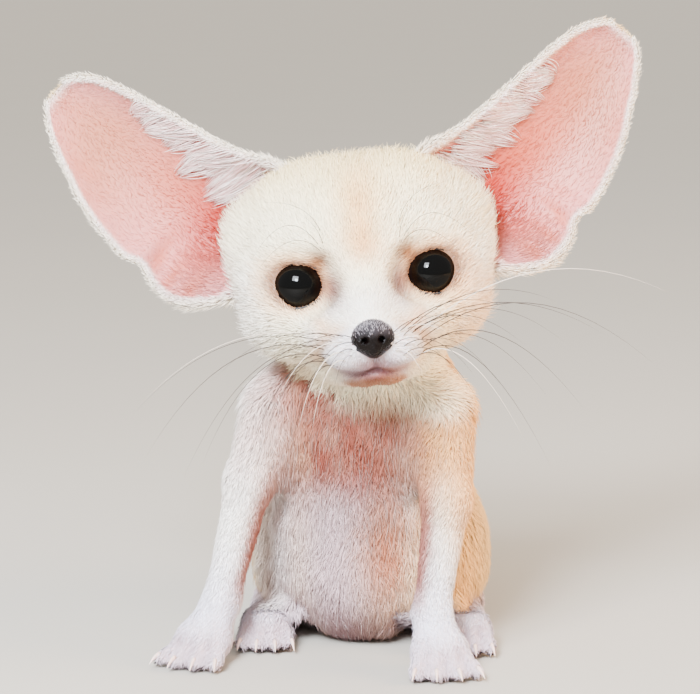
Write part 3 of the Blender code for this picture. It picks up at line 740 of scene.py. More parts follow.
normals = web.evened(normals_of(skin), 4)
points = points - MM * (OVERLAP + 0.15 + DEPTH_SHARE * hair[:, 0])[:, None] * unit(normals)
points = web.evened(points, 2, 0.5)
local = HEAD.local(points)
pinch = ramp(np.abs(local[:, 0]), 11, 22) * ramp(-local[:, 2], -6, 6) * (1 - ramp(local[:, 1], 14, 26))
pinch *= 1 - ramp(-local[:, 2], 20, 27)
points = points - MM * CHEEK_PINCH * (pinch * np.sign(local[:, 0]))[:, None] * HEAD.axes[:, 0]
local = HEAD.local(points)
points = pressed(points, normals, local, MOUTH_PATH, 0.65, 2.0)
points = pressed(points, normals, local, CLEFT_PATH, 0.55, 0.8)
points = pressed(points, normals, mirrored(local), PAD_EDGE, 1.5, 0.8)
crease = np.zeros(len(points))
for parts in CREASED:
    inside = web.evened(np.isin(nodes, parts).astype(float), 5)
    crease = np.maximum(crease, 4 * inside * (1 - inside))
crease *= 1 - ramp(KIT.local(points)[:, 2], 26, 40)
points = points - 1.3 * MM * crease[:, None] * normals
for line in toe_clefts():
    points = pressed(points, normals, KIT.local(points), line, 0.8, 0.9)
points[:, 2] = np.maximum(points[:, 2], 0.25 * MM)
move_points(skin, points)
mouth_distance, _ = seen_distance(MOUTH_PATH, local)
hair[:, 0] *= 1 - 0.55 * spot(mouth_distance, 1.6)
hair[:, 1] *= 1 - 0.35 * spot(mouth_distance, 1.6)
plant(skin, hair, lie, crease)
store(skin, "ear_place", "FLOAT_VECTOR", np.zeros((len(points), 3)))
print("lowest skin", round(points[:, 2].min() / MM, 2), "mm")

# %% [markdown]
# ## The ears
#
# An ear is a thin cupped leaf, about as long as the face is wide. A flat grid is laid along its length and
# from its outer edge to its inner one, bent into the cup by a formula, and pinched where the real ear
# folds: the pouch low on its outer edge and the soft lobe under it. Solidify gives it its wall.

# %% Ear leaves
EAR_INNER_EDGE = (
    *((-13, 12), (-9, 17), (-1, 18), (4, 16.2), (11, 14.2), (20, 12.6)),
    *((28, 11.2), (36, 9.7), (42, 7.9), (46, 5.2), (47.9, 2.4), (48.4, 0.6)),
)
EAR_OUTER_EDGE = (
    *((-13, -6), (-9, -12.2), (-5.5, -16), (-1.5, -18.4), (4, -18.6), (9.6, -17)),
    *((14.5, -17.8), (26, -15.4), (36, -10.9), (42, -7.6), (46, -4.4), (47.9, -2), (48.4, -0.6)),
)
EAR_LENGTH = 48.4
EAR_BASE = (30, 13, 14.5)
EAR_LEAN = math.radians(45.0)
EAR_FACING = 10.0
EAR_DEPTH = 11.5
EAR_BEND = 1.3
EAR_WALL = 1.0
EAR_ROWS = 64
EAR_COLUMNS = 40


class Ear:
    """The frame of one ear, and its cupped front as a function of place."""

    def __init__(self, side):
        facing = Place(turn=side * EAR_FACING).axes
        self.side = side
        self.base = np.array((side * EAR_BASE[0], *EAR_BASE[1:]), float)
        self.along = facing @ np.array((side * math.cos(EAR_LEAN), 0.0, math.sin(EAR_LEAN)))
        self.across = facing @ np.array((-side * math.sin(EAR_LEAN), 0.0, math.cos(EAR_LEAN)))
        self.back = facing @ np.array((0.0, 1.0, 0.0))
        self.inner = smooth_path(EAR_INNER_EDGE, 80)
        self.outer = smooth_path(EAR_OUTER_EDGE, 80)

    def ways(self, along, sweep):
        """Directions along the ear and across it, at places on its front."""
        ahead = self.front(along + 0.5, sweep, 0.0) - self.front(along - 0.5, sweep, 0.0)
        aside = self.front(along, sweep + 0.02, 0.0) - self.front(along, sweep - 0.02, 0.0)
        return unit(ahead), unit(aside)

    def front(self, along, sweep, folds=1.0):
        """Points of the cup's front in metres, with sweep from -1 on the outer edge to 1 on the inner."""
        top = np.interp(along, self.inner[:, 0], self.inner[:, 1])
        low = np.interp(along, self.outer[:, 0], self.outer[:, 1])
        across = (top + low) / 2 + (top - low) / 2 * np.sin(EAR_BEND * sweep) / math.sin(EAR_BEND)
        share = np.clip(along / EAR_LENGTH, 0.0, 1.0)
        depth = EAR_DEPTH * (1 - 0.66 * share) * (1 - share**8)
        depth = depth * (np.cos(EAR_BEND * sweep) - math.cos(EAR_BEND)) / (1 - math.cos(EAR_BEND))
        lobe = 2.6 * spot((along + 1) / 5.5, 1.0) * spot((sweep + 0.62) / 0.28, 1.0)
        pouch = -1.8 * spot((along - 7.5) / 2.0, 1.0) * spot((sweep + 0.8) / 0.3, 1.0)
        ridge = 1.3 * spot((along - 11.5) / 2.2, 1.0) * spot((sweep + 0.72) / 0.3, 1.0)
        depth = depth - folds * (lobe + pouch + ridge)
        local = self.base + np.multiply.outer(along, self.along) + np.multiply.outer(across, self.across)
        return HEAD.point(local + np.multiply.outer(depth, self.back))


def ear_leaf(name, side):
    """One ear as a thin closed leaf that remembers where on the ear each of its points is."""
    ear = Ear(side)
    leaf = added(bpy.ops.mesh.primitive_grid_add, name, x_subdivisions=EAR_COLUMNS, y_subdivisions=EAR_ROWS)
    flat = points_of(leaf)
    sweep = 0.965 * np.sin(0.5 * math.pi * flat[:, 0])
    share = 0.5 + 0.5 * flat[:, 1]
    along = -11.0 + (EAR_LENGTH - 0.9 + 11.0) * (1 - (1 - share) ** 1.4)
    ripple = 0.25 * np.sin(0.9 * along + 2.0 * side) * ramp(np.abs(sweep), 0.6, 1.0)
    move_points(leaf, ear.front(along, sweep) + MM * (0.35 + ripple)[:, None] * HEAD.direction(ear.back))
    store(leaf, "ear_place", "FLOAT_VECTOR", np.column_stack([along, sweep, np.ones(len(along))]))
    normals = normals_of(leaf)
    if (normals @ HEAD.direction(ear.back)).mean() > 0:
        leaf.data.flip_normals()
    finish_modifier(leaf, "SOLIDIFY", thickness=EAR_WALL * MM, offset=-1.0, use_even_offset=False)
    places = stored(leaf, "ear_place", 3)
    count = len(places) // 2
    places[count:, 2] = -1.0
    leaf.data.attributes.remove(leaf.data.attributes["ear_place"])
    store(leaf, "ear_place", "FLOAT_VECTOR", places)
    return leaf


ears = [ear_leaf("ear_leaf_" + name, side) for name, side in SIDES.items()]
print("ear leaves:", [len(ear.data.polygons) for ear in ears], "faces")

# %% Hair of the ears
# On the back it lies along the ear. In the cup it is sparse and fans out from the root, and along the
# inner edge and the rim it is long and reaches out over the cup.
for ear, side in zip(ears, SIDES.values()):
    shape = Ear(side)
    places = stored(ear, "ear_place", 3)
    along, sweep, face = places.T
    points = points_of(ear)
    ahead, aside = shape.ways(along, sweep)
    front = (face > 0)[:, None]
    outwards = np.sign(sweep) * ramp(np.abs(sweep), 0.55, 1.0)
    spread = 0.5 * np.minimum(sweep + 0.4, 0) - 0.75 * ramp(sweep, 0.2, 0.8)
    inner_front = ahead + spread[:, None] * aside
    back_lie = ahead + 0.5 * outwards[:, None] * aside
    lie = laid(np.where(front, inner_front, back_lie), normals_of(ear))
    rim = ramp(np.abs(sweep), 0.88, 0.97) + ramp(along, EAR_LENGTH - 5, EAR_LENGTH - 1)
    rim = np.clip(rim, 0, 1)
    low = ramp(-along, -8, 6)
    hair = np.zeros((len(points), 4))
    hair[:, 0] = np.where(face > 0, 1.6 + 1.2 * low, 2.0 + 1.8 * low) - 0.5 * rim
    hair[:, 1] = np.where(face > 0, 0.12 + 0.05 * low, 0.22) + 0.04 * rim
    hair[:, 2] = np.where(face > 0, 9, 16) + 8 * rim
    hair[:, 3] = np.where(face > 0, 2.2 + 2.0 * ramp(sweep, 0.3, 0.9) + 4 * low, 6.0) + 9 * rim
    plant(ear, hair, lie, np.zeros(len(points)))
print("ear hair set")

# %% [markdown]
# ## The lids
#
# A torus lies round each opening: its points are moved onto the ball of the eye, at the opening's
# edge, and it becomes part of the skin.

# %% Lids
EYE_OPENING = (59.0, 47.0)
LID_WIDTH = 1.0
LID_THICKNESS = 0.42
LID_STEPS = 80
LID_SIDES = 12
RING_RADIUS = 0.25
LID_HAIR = (0.85, 0.17, 22.0, 11.0)


def opening_lean(angle, side):
    """How far from the eye's axis, in radians, the opening reaches, and how far its inner end drops."""
    wide, high = np.cos(angle), np.sin(angle)
    inner = side * wide < 0
    open_wide = np.radians(EYE_OPENING[0] + 9.0 * inner * np.abs(wide) ** 10)
    lean = (open_wide * np.abs(wide)) ** 2 + (math.radians(EYE_OPENING[1]) * np.abs(high)) ** 2
    return np.sqrt(lean), -0.10 * inner * np.abs(wide) ** 6


def lids(name, side):
    """The rim of one eye's lids: a ring on the eyeball, wet on its inside and furred on its outside."""
    torus = bpy.ops.mesh.primitive_torus_add
    ring = added(torus, name, major_segments=LID_STEPS, minor_segments=LID_SIDES, minor_radius=RING_RADIUS)
    flat = points_of(ring)
    angle = np.arctan2(flat[:, 1], flat[:, 0])
    out = (np.hypot(flat[:, 0], flat[:, 1]) - 1.0) / RING_RADIUS
    up = flat[:, 2] / RING_RADIUS
    lean, drop = opening_lean(angle, side)
    reach = EYE_RADIUS + 0.02
    lean = lean + LID_WIDTH * (1 + out) / reach
    distance = reach + LID_THICKNESS * (up + 0.35) * (1 - 0.5 * np.maximum(out, 0))
    beside, above = np.cos(angle), np.sin(angle) + drop
    aim = np.column_stack([np.sin(lean) * beside, -np.cos(lean), np.sin(lean) * above])
    facing = Place(turn=side * EYE_FACING).axes
    local = (side * EYE_SPACING / 2, EYE_SET_BACK, 0) + (unit(aim) * distance[:, None]) @ facing.T
    move_points(ring, HEAD.point(local))
    edited(ring, bpy.ops.mesh.normals_make_consistent)
    furred = ramp(out, 0.0, 0.3) * (up > -0.5)
    outward = HEAD.direction((aim - (0, -1.0, 0)) @ facing.T)
    plant(ring, furred[:, None] * LID_HAIR, outward, np.zeros(len(flat)))
    store(ring, "ear_place", "FLOAT_VECTOR", np.column_stack([out, up, np.full(len(flat), 2.0)]))
    return ring


rings = [lids("lids_" + name, side) for name, side in SIDES.items()]
skin = joined("skin", skin, *ears, *rings)
bpy.ops.object.shade_smooth()
print("skin with ears and lids:", len(skin.data.polygons), "faces")

# %% Unwrap of the skin
while skin.data.uv_layers:
    skin.data.uv_layers.remove(skin.data.uv_layers[0])
skin.data.uv_layers.new(name="OFBake")
edited(skin, bpy.ops.uv.smart_project, angle_limit=math.radians(66), island_margin=0.001)
print("unwrapped:", [layer.name for layer in skin.data.uv_layers])

IVORY = (0.955, 0.90, 0.78)
WHITE = (0.95, 0.925, 0.90)
LAVENDER = (0.82, 0.81, 0.91)
CROWN = (0.95, 0.84, 0.60)
TAN = (0.86, 0.60, 0.38)
BROWN = (0.34, 0.18, 0.11)
PLUM = (0.34, 0.21, 0.21)
SAND = (0.82, 0.69, 0.50)
FLANK = (0.92, 0.72, 0.46)
CHEST = (0.50, 0.25, 0.21)
BELLY = (0.72, 0.62, 0.64)
APRICOT = (0.62, 0.36, 0.26)
LIP = (0.40, 0.13, 0.11)
# The chin's own tan, made darker for the shade below the mouth: partly painted shade.
CHIN = (0.64, 0.47, 0.38)
EAR_PALE = (0.83, 0.57, 0.56)
EAR_TAN = (0.69, 0.43, 0.33)
EAR_RED = (0.62, 0.16, 0.11)
EAR_ORANGE = (0.72, 0.36, 0.27)
TAIL_DARK = (0.20, 0.14, 0.11)
EAR_BACK = (0.88, 0.77, 0.59)
RIM_DARK = (0.09, 0.06, 0.055)
MOUTH_DARK = (0.12, 0.04, 0.04)
CLEFT_DARK = (0.16, 0.07, 0.06)
NOSE_DARK = (0.12, 0.08, 0.08)


def grain(points, size, turn=0.0):
    """A soft, random-looking pattern from -1 to 1 made of a few crossed waves."""
    scaled = points / (MM * size)
    value = np.zeros(len(points))
    for number, (x, y, z) in enumerate(((1, 0.4, 0.7), (-0.6, 1, 0.3), (0.5, -0.7, 1), (0.9, 0.8, -0.5))):
        phase = 1.7 * number + turn
        value += np.sin(scaled @ (x, y, z) + phase + 1.3 * np.sin(scaled @ (z, x, -y) * 0.7 + phase))
    return value / 4


def painted(colour, mask, over):
    """A colour laid over others where its mask is 1."""
    mask = np.clip(mask, 0, 1)[:, None]
    return colour * (1 - mask) + np.array(over) * mask


def layered(points, base, *layers):
    """A ground colour for each point, and others over it, as (mask, colour), one after the other."""
    colour = np.zeros((len(points), 3)) + base
    for mask, over in layers:
        colour = painted(colour, mask, over)
    return colour


def head_colours(points):
    local = HEAD.local(points)
    x, y, z = local.T
    folded = mirrored(local)
    eye = eye_distance(local) - EYE_RADIUS
    cheek = ramp(np.abs(x), 15, 24) * ramp(-z, -12, 2)
    streak = spot(x + 0.6 * grain(points, 2.0), 3.6) * ramp(z, -1, 8) * ramp(-z, -27, -15) * ramp(-y, -18, -4)
    muzzle = ramp(-y, 2, 8) * ramp(-z, -1, 6)
    ahead = ramp(-y, -4, 0)
    edge, _ = seen_distance(PAD_EDGE, folded)
    pads = spot(muzzle_distance(local), 9) * ramp(-z, 9, 12)
    inner = np.hypot(folded[:, 0] - INNER_CORNER[0], (z - INNER_CORNER[1]) / 1.5)
    above = np.hypot((folded[:, 0] - BROW[0]) / 1.1, z - BROW[1])
    warm = np.hypot(folded[:, 0] - BELOW_CORNER[0], z - BELOW_CORNER[1])
    mouth, _ = seen_distance(MOUTH_PATH, local)
    upper_lip = np.hypot(x / 4.5, (z - UPPER_LIP_HEIGHT) / 1.5)
    lower_lip = np.hypot(x / 3.0, (z - LOWER_LIP_HEIGHT) / 0.8)
    cleft, _ = seen_distance(CLEFT_PATH, local)
    nose = np.linalg.norm((local - NOSE_SEAT) / (4.4, 4.4, 4.2), axis=1)
    return layered(
        points,
        IVORY,
        (0.75 * ramp(z, 12, 26), CROWN),
        (0.6 * ramp(y, 14, 30), SAND),
        (0.75 * cheek, WHITE),
        # Painted warm light: the kit's left cheek, on the side of the warm lamp, is tinted tan.
        (0.35 * ramp(x, 11, 20) * ramp(-z, -4, 8), TAN),
        (0.85 * streak, TAN),
        (0.4 * spot(x, 8) * ramp(z, 2, 12) * ramp(-y, -8, 4), CROWN),
        (0.85 * muzzle, WHITE),
        (0.85 * pads, LAVENDER),
        (0.40 * spot(edge, 1.6) * ramp(folded[:, 0], 3, 8) * ahead, TAN),
        (0.85 * spot(inner, 2.6) * ahead, PLUM),
        (0.85 * spot(above, 2.1) * ahead, BROWN),
        (0.40 * spot(eye - 1.2, 1.6), TAN),
        (0.70 * spot(eye - 0.1, 0.9), BROWN),
        (0.45 * spot(warm, 2.0) * ahead, TAN),
        # Painted shade under the jaw, in the chest's colour.
        (0.8 * ramp(-z, 21, 26) * ramp(-y, -8, 0), CHEST),
        # The chin's tan, with painted shade below the mouth.
        (ramp(-z, 20.2, 21.6) * ramp(-y, 0, 5), CHIN),
        (0.45 * spot(upper_lip, 1.0) * ahead, LIP),
        (0.75 * spot(mouth, 0.9) * ramp(MOUTH_REACH - np.abs(x), 0, 4) * ahead, LIP),
        (0.5 * spot(lower_lip, 1.0) * ahead, LIP),
        (spot(mouth, 0.75) * ramp(MOUTH_REACH - np.abs(x), 0, 3) * ahead, MOUTH_DARK),
        (0.95 * spot(cleft, 0.45) * ahead, CLEFT_DARK),
        (1 - ramp(nose, 0.80, 0.90), NOSE_DARK),
    )


def body_colours(points, normals):
    x, y, z = TORSO.local(points).T
    across, _, height = KIT.local(points).T
    front = ramp(-normals[:, 1], -0.15, 0.45)
    chest = front * spot((across + 2.5) / 20, 1.0) * ramp(height, 24, 42) * (1 - ramp(height, 76, 86))
    mottle = 0.95 + 0.35 * grain(points, 1.5, 2.0) + 0.2 * grain(points, 0.7, 1.0)
    belly = front * spot((across + 6) / 13, 1.0) * (1 - ramp(height, 34, 46))
    return layered(
        points,
        SAND,
        (ramp(-y, -22, -4), FLANK),
        # Painted light: the front of the kit's right side, under the cool lamp, is made white, while the left
        # keeps the warmer flank colour.
        (ramp(-x, 6, 18) * ramp(-y, -18, 2), WHITE),
        (0.8 * ramp(z, 60, 74), IVORY),
        (front * ramp(across, -18, -9) * (1 - ramp(across, 9, 15)), IVORY),
        # More of the same painted cool light on the kit's right side.
        (0.8 * ramp(-across, 13, 19) * ramp(-y, -16, 0), WHITE),
        (mottle * chest, CHEST),
        # Painted shade on the front of the neck, under the chin.
        (0.5 * front * spot(across / 18, 1.0) * ramp(height, 56, 66), PLUM),
        (belly, BELLY),
        (0.9 * front * spot((across - 4.5) / 5.5, 1.0) * spot((height - 25) / 13, 1.0), APRICOT),
        # Painted shade low on the belly, between the forelegs.
        (0.6 * front * spot(across / 14, 1.0) * ramp(-height, -15, -3), PLUM),
    )


def leg_colours(points, normals):
    local = KIT.local(points)
    x, y, z = local.T
    colour = np.zeros((len(points), 3)) + WHITE
    colour = painted(colour, 0.7 * ramp(-z, -34, -8), LAVENDER)
    colour = painted(colour, 0.16 * ramp(-z, -12, -5), CHEST)
    # The chest's pink runs down the inner sides of the forelegs, deepened there as painted shade between the
    # legs and the body.
    inside = ramp(-np.sign(x) * normals[:, 0], 0.15, 0.75) * ramp(z, 10, 22) * ramp(-y, -14, -2)
    colour = painted(colour, 0.8 * inside, CHEST)
    # Painted warm light: the upper part of the kit's left foreleg, on the side of the warm lamp, is tinted
    # tan.
    colour = painted(colour, 0.75 * ramp(x, 14, 22) * ramp(z, 16, 40), TAN)
    # Pink skin in the clefts between the toes, darkened as painted shade.
    for line in toe_clefts():
        away, _ = distance_to(line, local)
        colour = painted(colour, 0.6 * spot(away, 0.9), CHEST)
    return colour


def tail_colours(points):
    _, along = distance_to(TAIL_LINE, points)
    return layered(
        points,
        SAND,
        (ramp(points[:, 2] / MM * -1, -7, -1), IVORY),
        (ramp(along + 0.03 * grain(points, 1.2), 0.76, 0.84), TAIL_DARK),
    )


def ear_colours(points, places):
    """Salmon in the cup, red at its root, white on the rim, and the middle of the kit's left ear more orange:
    painted warm light.
    """
    along, sweep, face = places.T
    # warm is 1 on the kit's left ear, on the side of the warm lamp: its deeper orange there is painted warm
    # light.
    warm = 0.5 + 0.5 * np.sign(HEAD.local(points)[:, 0])
    colour = np.zeros((len(points), 3)) + EAR_PALE
    veins = np.sin(7 * sweep + 0.25 * along + 2.5 * grain(points, 6.0)) * grain(points, 2.5, 3.0)
    colour = painted(colour, 0.95 * spot((along - 33) / 15, 1.0) * spot((sweep + 0.1) / 0.8, 1.0), EAR_TAN)
    colour = painted(colour, 0.18 * np.maximum(veins, 0), EAR_ORANGE)
    middle = spot((along - 14) / (11 + 4 * warm), 1.0) * spot((sweep - 0.1) / 0.5, 1.0)
    colour = painted(colour, (0.70 + 0.25 * warm) * middle, EAR_ORANGE)
    root = spot((along - 1) / 9, 1.0) * spot((sweep - 0.1) / 0.55, 1.0)
    colour = painted(colour, root, EAR_RED)
    for place, width in ((7.5, 1.6), (2.0, 1.4), (-3.5, 1.6)):
        fold = spot((along - place - 3 * (sweep + 0.75)) / width, 1.0) * spot((sweep + 0.72) / 0.22, 1.0)
        colour = painted(colour, 0.6 * fold, EAR_ORANGE)
    colour = painted(colour, 0.85 * ramp(sweep, 0.78, 0.95), WHITE)
    colour = painted(colour, 0.85 * ramp(-sweep, 0.86, 0.98), WHITE)
    colour = painted(colour, 0.80 * ramp(along, EAR_LENGTH - 3.0, EAR_LENGTH - 0.5), WHITE)
    back = painted(np.zeros((len(points), 3)) + EAR_BACK, 0.7 * ramp(np.abs(sweep), 0.6, 1.0), WHITE)
    return np.where((face > 0)[:, None], colour, back)


def lid_colours(points, places):
    """Black on the wet inside of the lids, and the face's own colour where they are furred."""
    return painted(head_colours(points), 1 - ramp(places[:, 0], -0.45, 0.05), RIM_DARK)


# Light that passes from hair to hair washes a coat's colour out, so the colours are deepened first.
DEPTH_OF_COLOUR = 2.3


def markings(points, normals, nodes, places):
    """The colour of each place of the skin or coat: its markings, with painted shade under the jaw, in the
    folds and between the legs, and painted warm and cool light on the two sides.
    """
    colour = head_colours(points)
    limbs = np.array([limb_of(node) for node in nodes])
    trunk = np.isin(limbs, ("neck", "torso", "hind_leg"))
    legs = np.isin(limbs, ("foreleg", "forepaw", "hind_foot"))
    tail = np.char.startswith(limbs.astype(str), "tail")
    lid = places[:, 2] == 2
    ear = np.abs(places[:, 2]) == 1
    colour[trunk] = body_colours(points[trunk], normals[trunk])
    colour[legs] = leg_colours(points[legs], normals[legs])
    shoulder = ramp(KIT.local(points[legs])[:, 2], 30, 50)[:, None]
    colour[legs] += shoulder * (body_colours(points[legs], normals[legs]) - colour[legs])
    colour[tail] = tail_colours(points[tail])
    colour[lid] = lid_colours(points[lid], places[lid])
    colour[ear] = ear_colours(points[ear], places[ear])
    return np.clip(colour, 0.0, 0.95) ** DEPTH_OF_COLOUR


points = points_of(skin)
normals = normals_of(skin)
places = stored(skin, "ear_place", 3)
nodes = nearest_nodes(points)
web = Web(edges_of(skin), len(points))
colour = markings(points, web.evened(normals, 6), nodes, places)
trunk_and_legs = (places[:, 2] == 0) & (HEAD.local(points)[:, 2] < -24)
# Painted shade in the folds where the legs meet the body and at the feet, in the chest's colour.
colour = painted(colour, 0.5 * stored(skin, "crease", 1), np.array(CHEST) ** DEPTH_OF_COLOUR)
colour[trunk_and_legs] = web.evened(colour, 8)[trunk_and_legs]
store(skin, "markings", "FLOAT_COLOR", np.column_stack([colour, np.ones(len(colour))]))
print("markings on", len(colour), "points")

# %% Skin material
graph = Graph("kit_skin")
paint = graph.attribute("markings")
speckle = graph.noise(900.0, 4.0)
tone = graph.mix(speckle * 0.6, (0.98, 0.92, 0.90, 1), (0.80, 0.66, 0.62, 1))
graph.set(
    Base_Color=graph.mix(1.0, paint, tone, "MULTIPLY"),
    Roughness=0.55,
    Subsurface_Weight=0.25,
    Subsurface_Radius=(1.0, 0.35, 0.2),
    Subsurface_Scale=0.0012,
    Normal=graph.bump(graph.noise(1600.0, 2.0), 0.0001),
)
skin.data.materials.clear()
skin.data.materials.append(graph.material)
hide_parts(*FLESH, "ear_left", "ear_right")
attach(skin, "root")
print("skin rides on root")

# %% [markdown]
# ## The coat
#
# A tuft is a thin closed spindle: a sunk root, three points round its widest place, and a tip bent down
# along the lie. That is five points and six triangles, so the coat can have over two hundred thousand.
# They are made as arrays, one mesh for each region of the body. Each tuft takes its colour, direction,
# length and width from the place on the skin where it roots.

# %% Places for the tufts
draw = np.random.default_rng(SEED)


def bare(points, places):
    """Where no hair grows: the nose's seat, the mouth's line, the eyes and under the feet."""
    local = HEAD.local(points)
    mouth, _ = seen_distance(MOUTH_PATH, local)
    cleft, _ = seen_distance(CLEFT_PATH, local)
    nose = np.linalg.norm((local - NOSE_SEAT) / (4.0, 4.2, 3.8), axis=1) < 1
    eye = (eye_distance(local) < EYE_RADIUS - 0.1) & (places[:, 2] == 0)
    return ((mouth < 0.5) | (cleft < 0.35)) & (local[:, 1] < -2) | nose | eye | (points[:, 2] < 0.6 * MM)


class Surface:
    """The triangles of a mesh, and what a tuft needs to know at each of its points."""

    def __init__(self, thing, hair, lie, colour, growing):
        self.points = points_of(thing)
        self.fields = {"point": self.points, "normal": normals_of(thing)}
        self.fields |= {"lie": lie, "hair": hair, "colour": colour}
        mesh = thing.data
        mesh.calc_loop_triangles()
        count = len(mesh.loop_triangles)
        self.corners = np.empty(count * 3, np.int32)
        loops = np.empty(count * 3, np.int32)
        mesh.loop_triangles.foreach_get("vertices", self.corners)
        mesh.loop_triangles.foreach_get("loops", loops)
        self.corners = self.corners.reshape(-1, 3)
        uv = np.empty(len(mesh.loops) * 2, np.float32)
        mesh.uv_layers["OFBake"].data.foreach_get("uv", uv)
        self.uv = uv.reshape(-1, 2)[loops.reshape(-1, 3)]
        spans = self.points[self.corners[:, 1:]] - self.points[self.corners[:, :1]]
        areas = 0.5 * np.linalg.norm(np.cross(spans[:, 0], spans[:, 1]), axis=1) / MM**2
        self.expected = areas * (hair[:, 3] * growing)[self.corners].mean(axis=1)


class Roots:
    """Random places on chosen triangles of a surface, as many as its hair's density asks for."""

    def __init__(self, surface, chosen, thinned=1.0):
        weight = np.cumsum(np.where(chosen, surface.expected, 0.0) * thinned)
        count = int(weight[-1])
        marks = (np.arange(count) + draw.random(count)) * weight[-1] / max(count, 1)
        triangle = np.searchsorted(weight, marks)
        shares = draw.random((count, 2))
        over = shares.sum(axis=1) > 1
        shares[over] = 1 - shares[over]
        shares = np.column_stack([1 - shares.sum(axis=1), shares])[:, :, None]
        for name, values in surface.fields.items():
            setattr(self, name, (values[surface.corners[triangle]] * shares).sum(axis=1))
        self.normal = unit(self.normal)
        self.lie = laid(self.lie, self.normal)
        self.uv = (surface.uv[triangle] * shares).sum(axis=1)


hair = stored(skin, "hair", 4)
fur = Surface(skin, hair, stored(skin, "lie", 3), colour, ~bare(points, places))
print("tufts expected", int(fur.expected.sum()))

# %% Tufts as meshes
MIDDLE_SHARE = 0.42
ROOT_DEPTH = 0.15 * MM
TUFT_FACES = np.array([(0, 2, 3), (0, 3, 1), (0, 1, 2), (4, 3, 2), (4, 1, 3), (4, 2, 1)])
BAKE_PATCH = 0.003
FLOOR_GAP = 0.1 * MM
PATCH_SHAPE = np.array([(0.0, 0.0), (0.5, 0.3), (0.5, -0.3), (0.6, 0.0), (1.0, 0.0)]) * BAKE_PATCH


def mesh_from(name, verts, faces, uvs, colours, shading=None):
    """A mesh object from arrays: points, triangles, a bake map, colours and, if given, shading normals."""
    mesh = bpy.data.meshes.new(name)
    mesh.vertices.add(len(verts))
    mesh.loops.add(faces.size)
    mesh.polygons.add(len(faces))
    mesh.vertices.foreach_set("co", verts.astype(np.float32).ravel())
    mesh.loops.foreach_set("vertex_index", faces.astype(np.int32).ravel())
    mesh.polygons.foreach_set("loop_start", np.arange(0, faces.size, 3, dtype=np.int32))
    mesh.update(calc_edges=True)
    mesh.validate()
    made = bpy.data.objects.new(name, mesh)
    bpy.context.scene.collection.objects.link(made)
    mesh.uv_layers.new(name="OFBake").data.foreach_set("uv", uvs[faces].astype(np.float32).ravel())
    store(made, "markings", "FLOAT_COLOR", np.column_stack([colours, np.ones(len(colours))]))
    mesh.shade_smooth()
    if shading is not None:
        mesh.normals_split_custom_set_from_vertices(unit(shading).astype(np.float32).tolist())
    return made


def tufts(name, roots, softness=0.8):
    """One mesh of tufts. Softness turns their shading from each tuft's own towards that of the skin."""
    count = len(roots.point)
    normal = roots.normal
    sway = 0.30 * draw.normal(size=count) + 0.35 * grain(roots.point, 2.4, 1.0)
    side = np.cross(normal, roots.lie)
    lie = unit(roots.lie + sway[:, None] * side)
    side = np.cross(normal, lie)
    reach = MM * roots.hair[:, 0] * draw.uniform(0.7, 1.25, count)
    width = MM * roots.hair[:, 1] * draw.uniform(0.75, 1.2, count)
    lift = np.radians(roots.hair[:, 2] + draw.normal(size=count) * 6.0 + 5.0 * grain(roots.point, 3.1))
    lift = np.clip(lift, math.radians(6), math.radians(75))[:, None]
    rise = np.cos(lift) * lie + np.sin(lift) * normal
    settle_lift = 0.35 * lift
    trail = np.cos(settle_lift) * lie + np.sin(settle_lift) * normal
    middle = roots.point + MIDDLE_SHARE * reach[:, None] * rise
    tip = middle + (1 - MIDDLE_SHARE) * reach[:, None] * trail
    half = 0.5 * width[:, None] * side
    root = roots.point - ROOT_DEPTH * normal
    crest = middle + 0.4 * width[:, None] * normal
    verts = np.stack([root, middle + half, middle - half, crest, tip], axis=1)
    verts[:, :, 2] = np.maximum(verts[:, :, 2], FLOOR_GAP)
    faces = (np.arange(count)[:, None, None] * 5 + TUFT_FACES).reshape(-1, 3)
    bright = draw.normal(size=count) * 0.06 + 0.05 * grain(roots.point, 1.1, 4.0)
    shade = np.stack([0.72 + bright, 0.95 + bright, 0.95 + bright, 1.0 + bright, 1.06 + bright], axis=1)
    colours = np.clip(roots.colour[:, None, :] * shade[:, :, None], 0, 0.95)
    uvs = roots.uv[:, None, :] + PATCH_SHAPE
    own = np.stack([normal - lie, side, -side, normal, lie + 0.4 * normal], axis=1)
    shading = (unit(own) + softness * normal[:, None, :]).reshape(-1, 3) if softness else None
    made = mesh_from(name, verts.reshape(-1, 3), faces, uvs.reshape(-1, 2), colours.reshape(-1, 3), shading)
    print(name, count, "tufts", 6 * count, "triangles")
    return made


# %% Coat material
graph = Graph("kit_coat")
paint = graph.attribute("markings")
fleck = graph.noise(1400.0, 2.0)
tone = graph.mix(fleck * 0.4, (1.0, 1.0, 1.0, 1), (0.80, 0.74, 0.70, 1))
graph.set(
    Base_Color=graph.mix(1.0, paint, tone, "MULTIPLY"),
    Roughness=0.7,
    Specular_IOR_Level=0.1,
)
coat_material = graph.material
print("coat material:", coat_material.name)


def dress(piece, material=coat_material):
    """Gives a finished piece its material, and sets what it rides on."""
    piece.data.materials.append(material)
    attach(piece, "root")


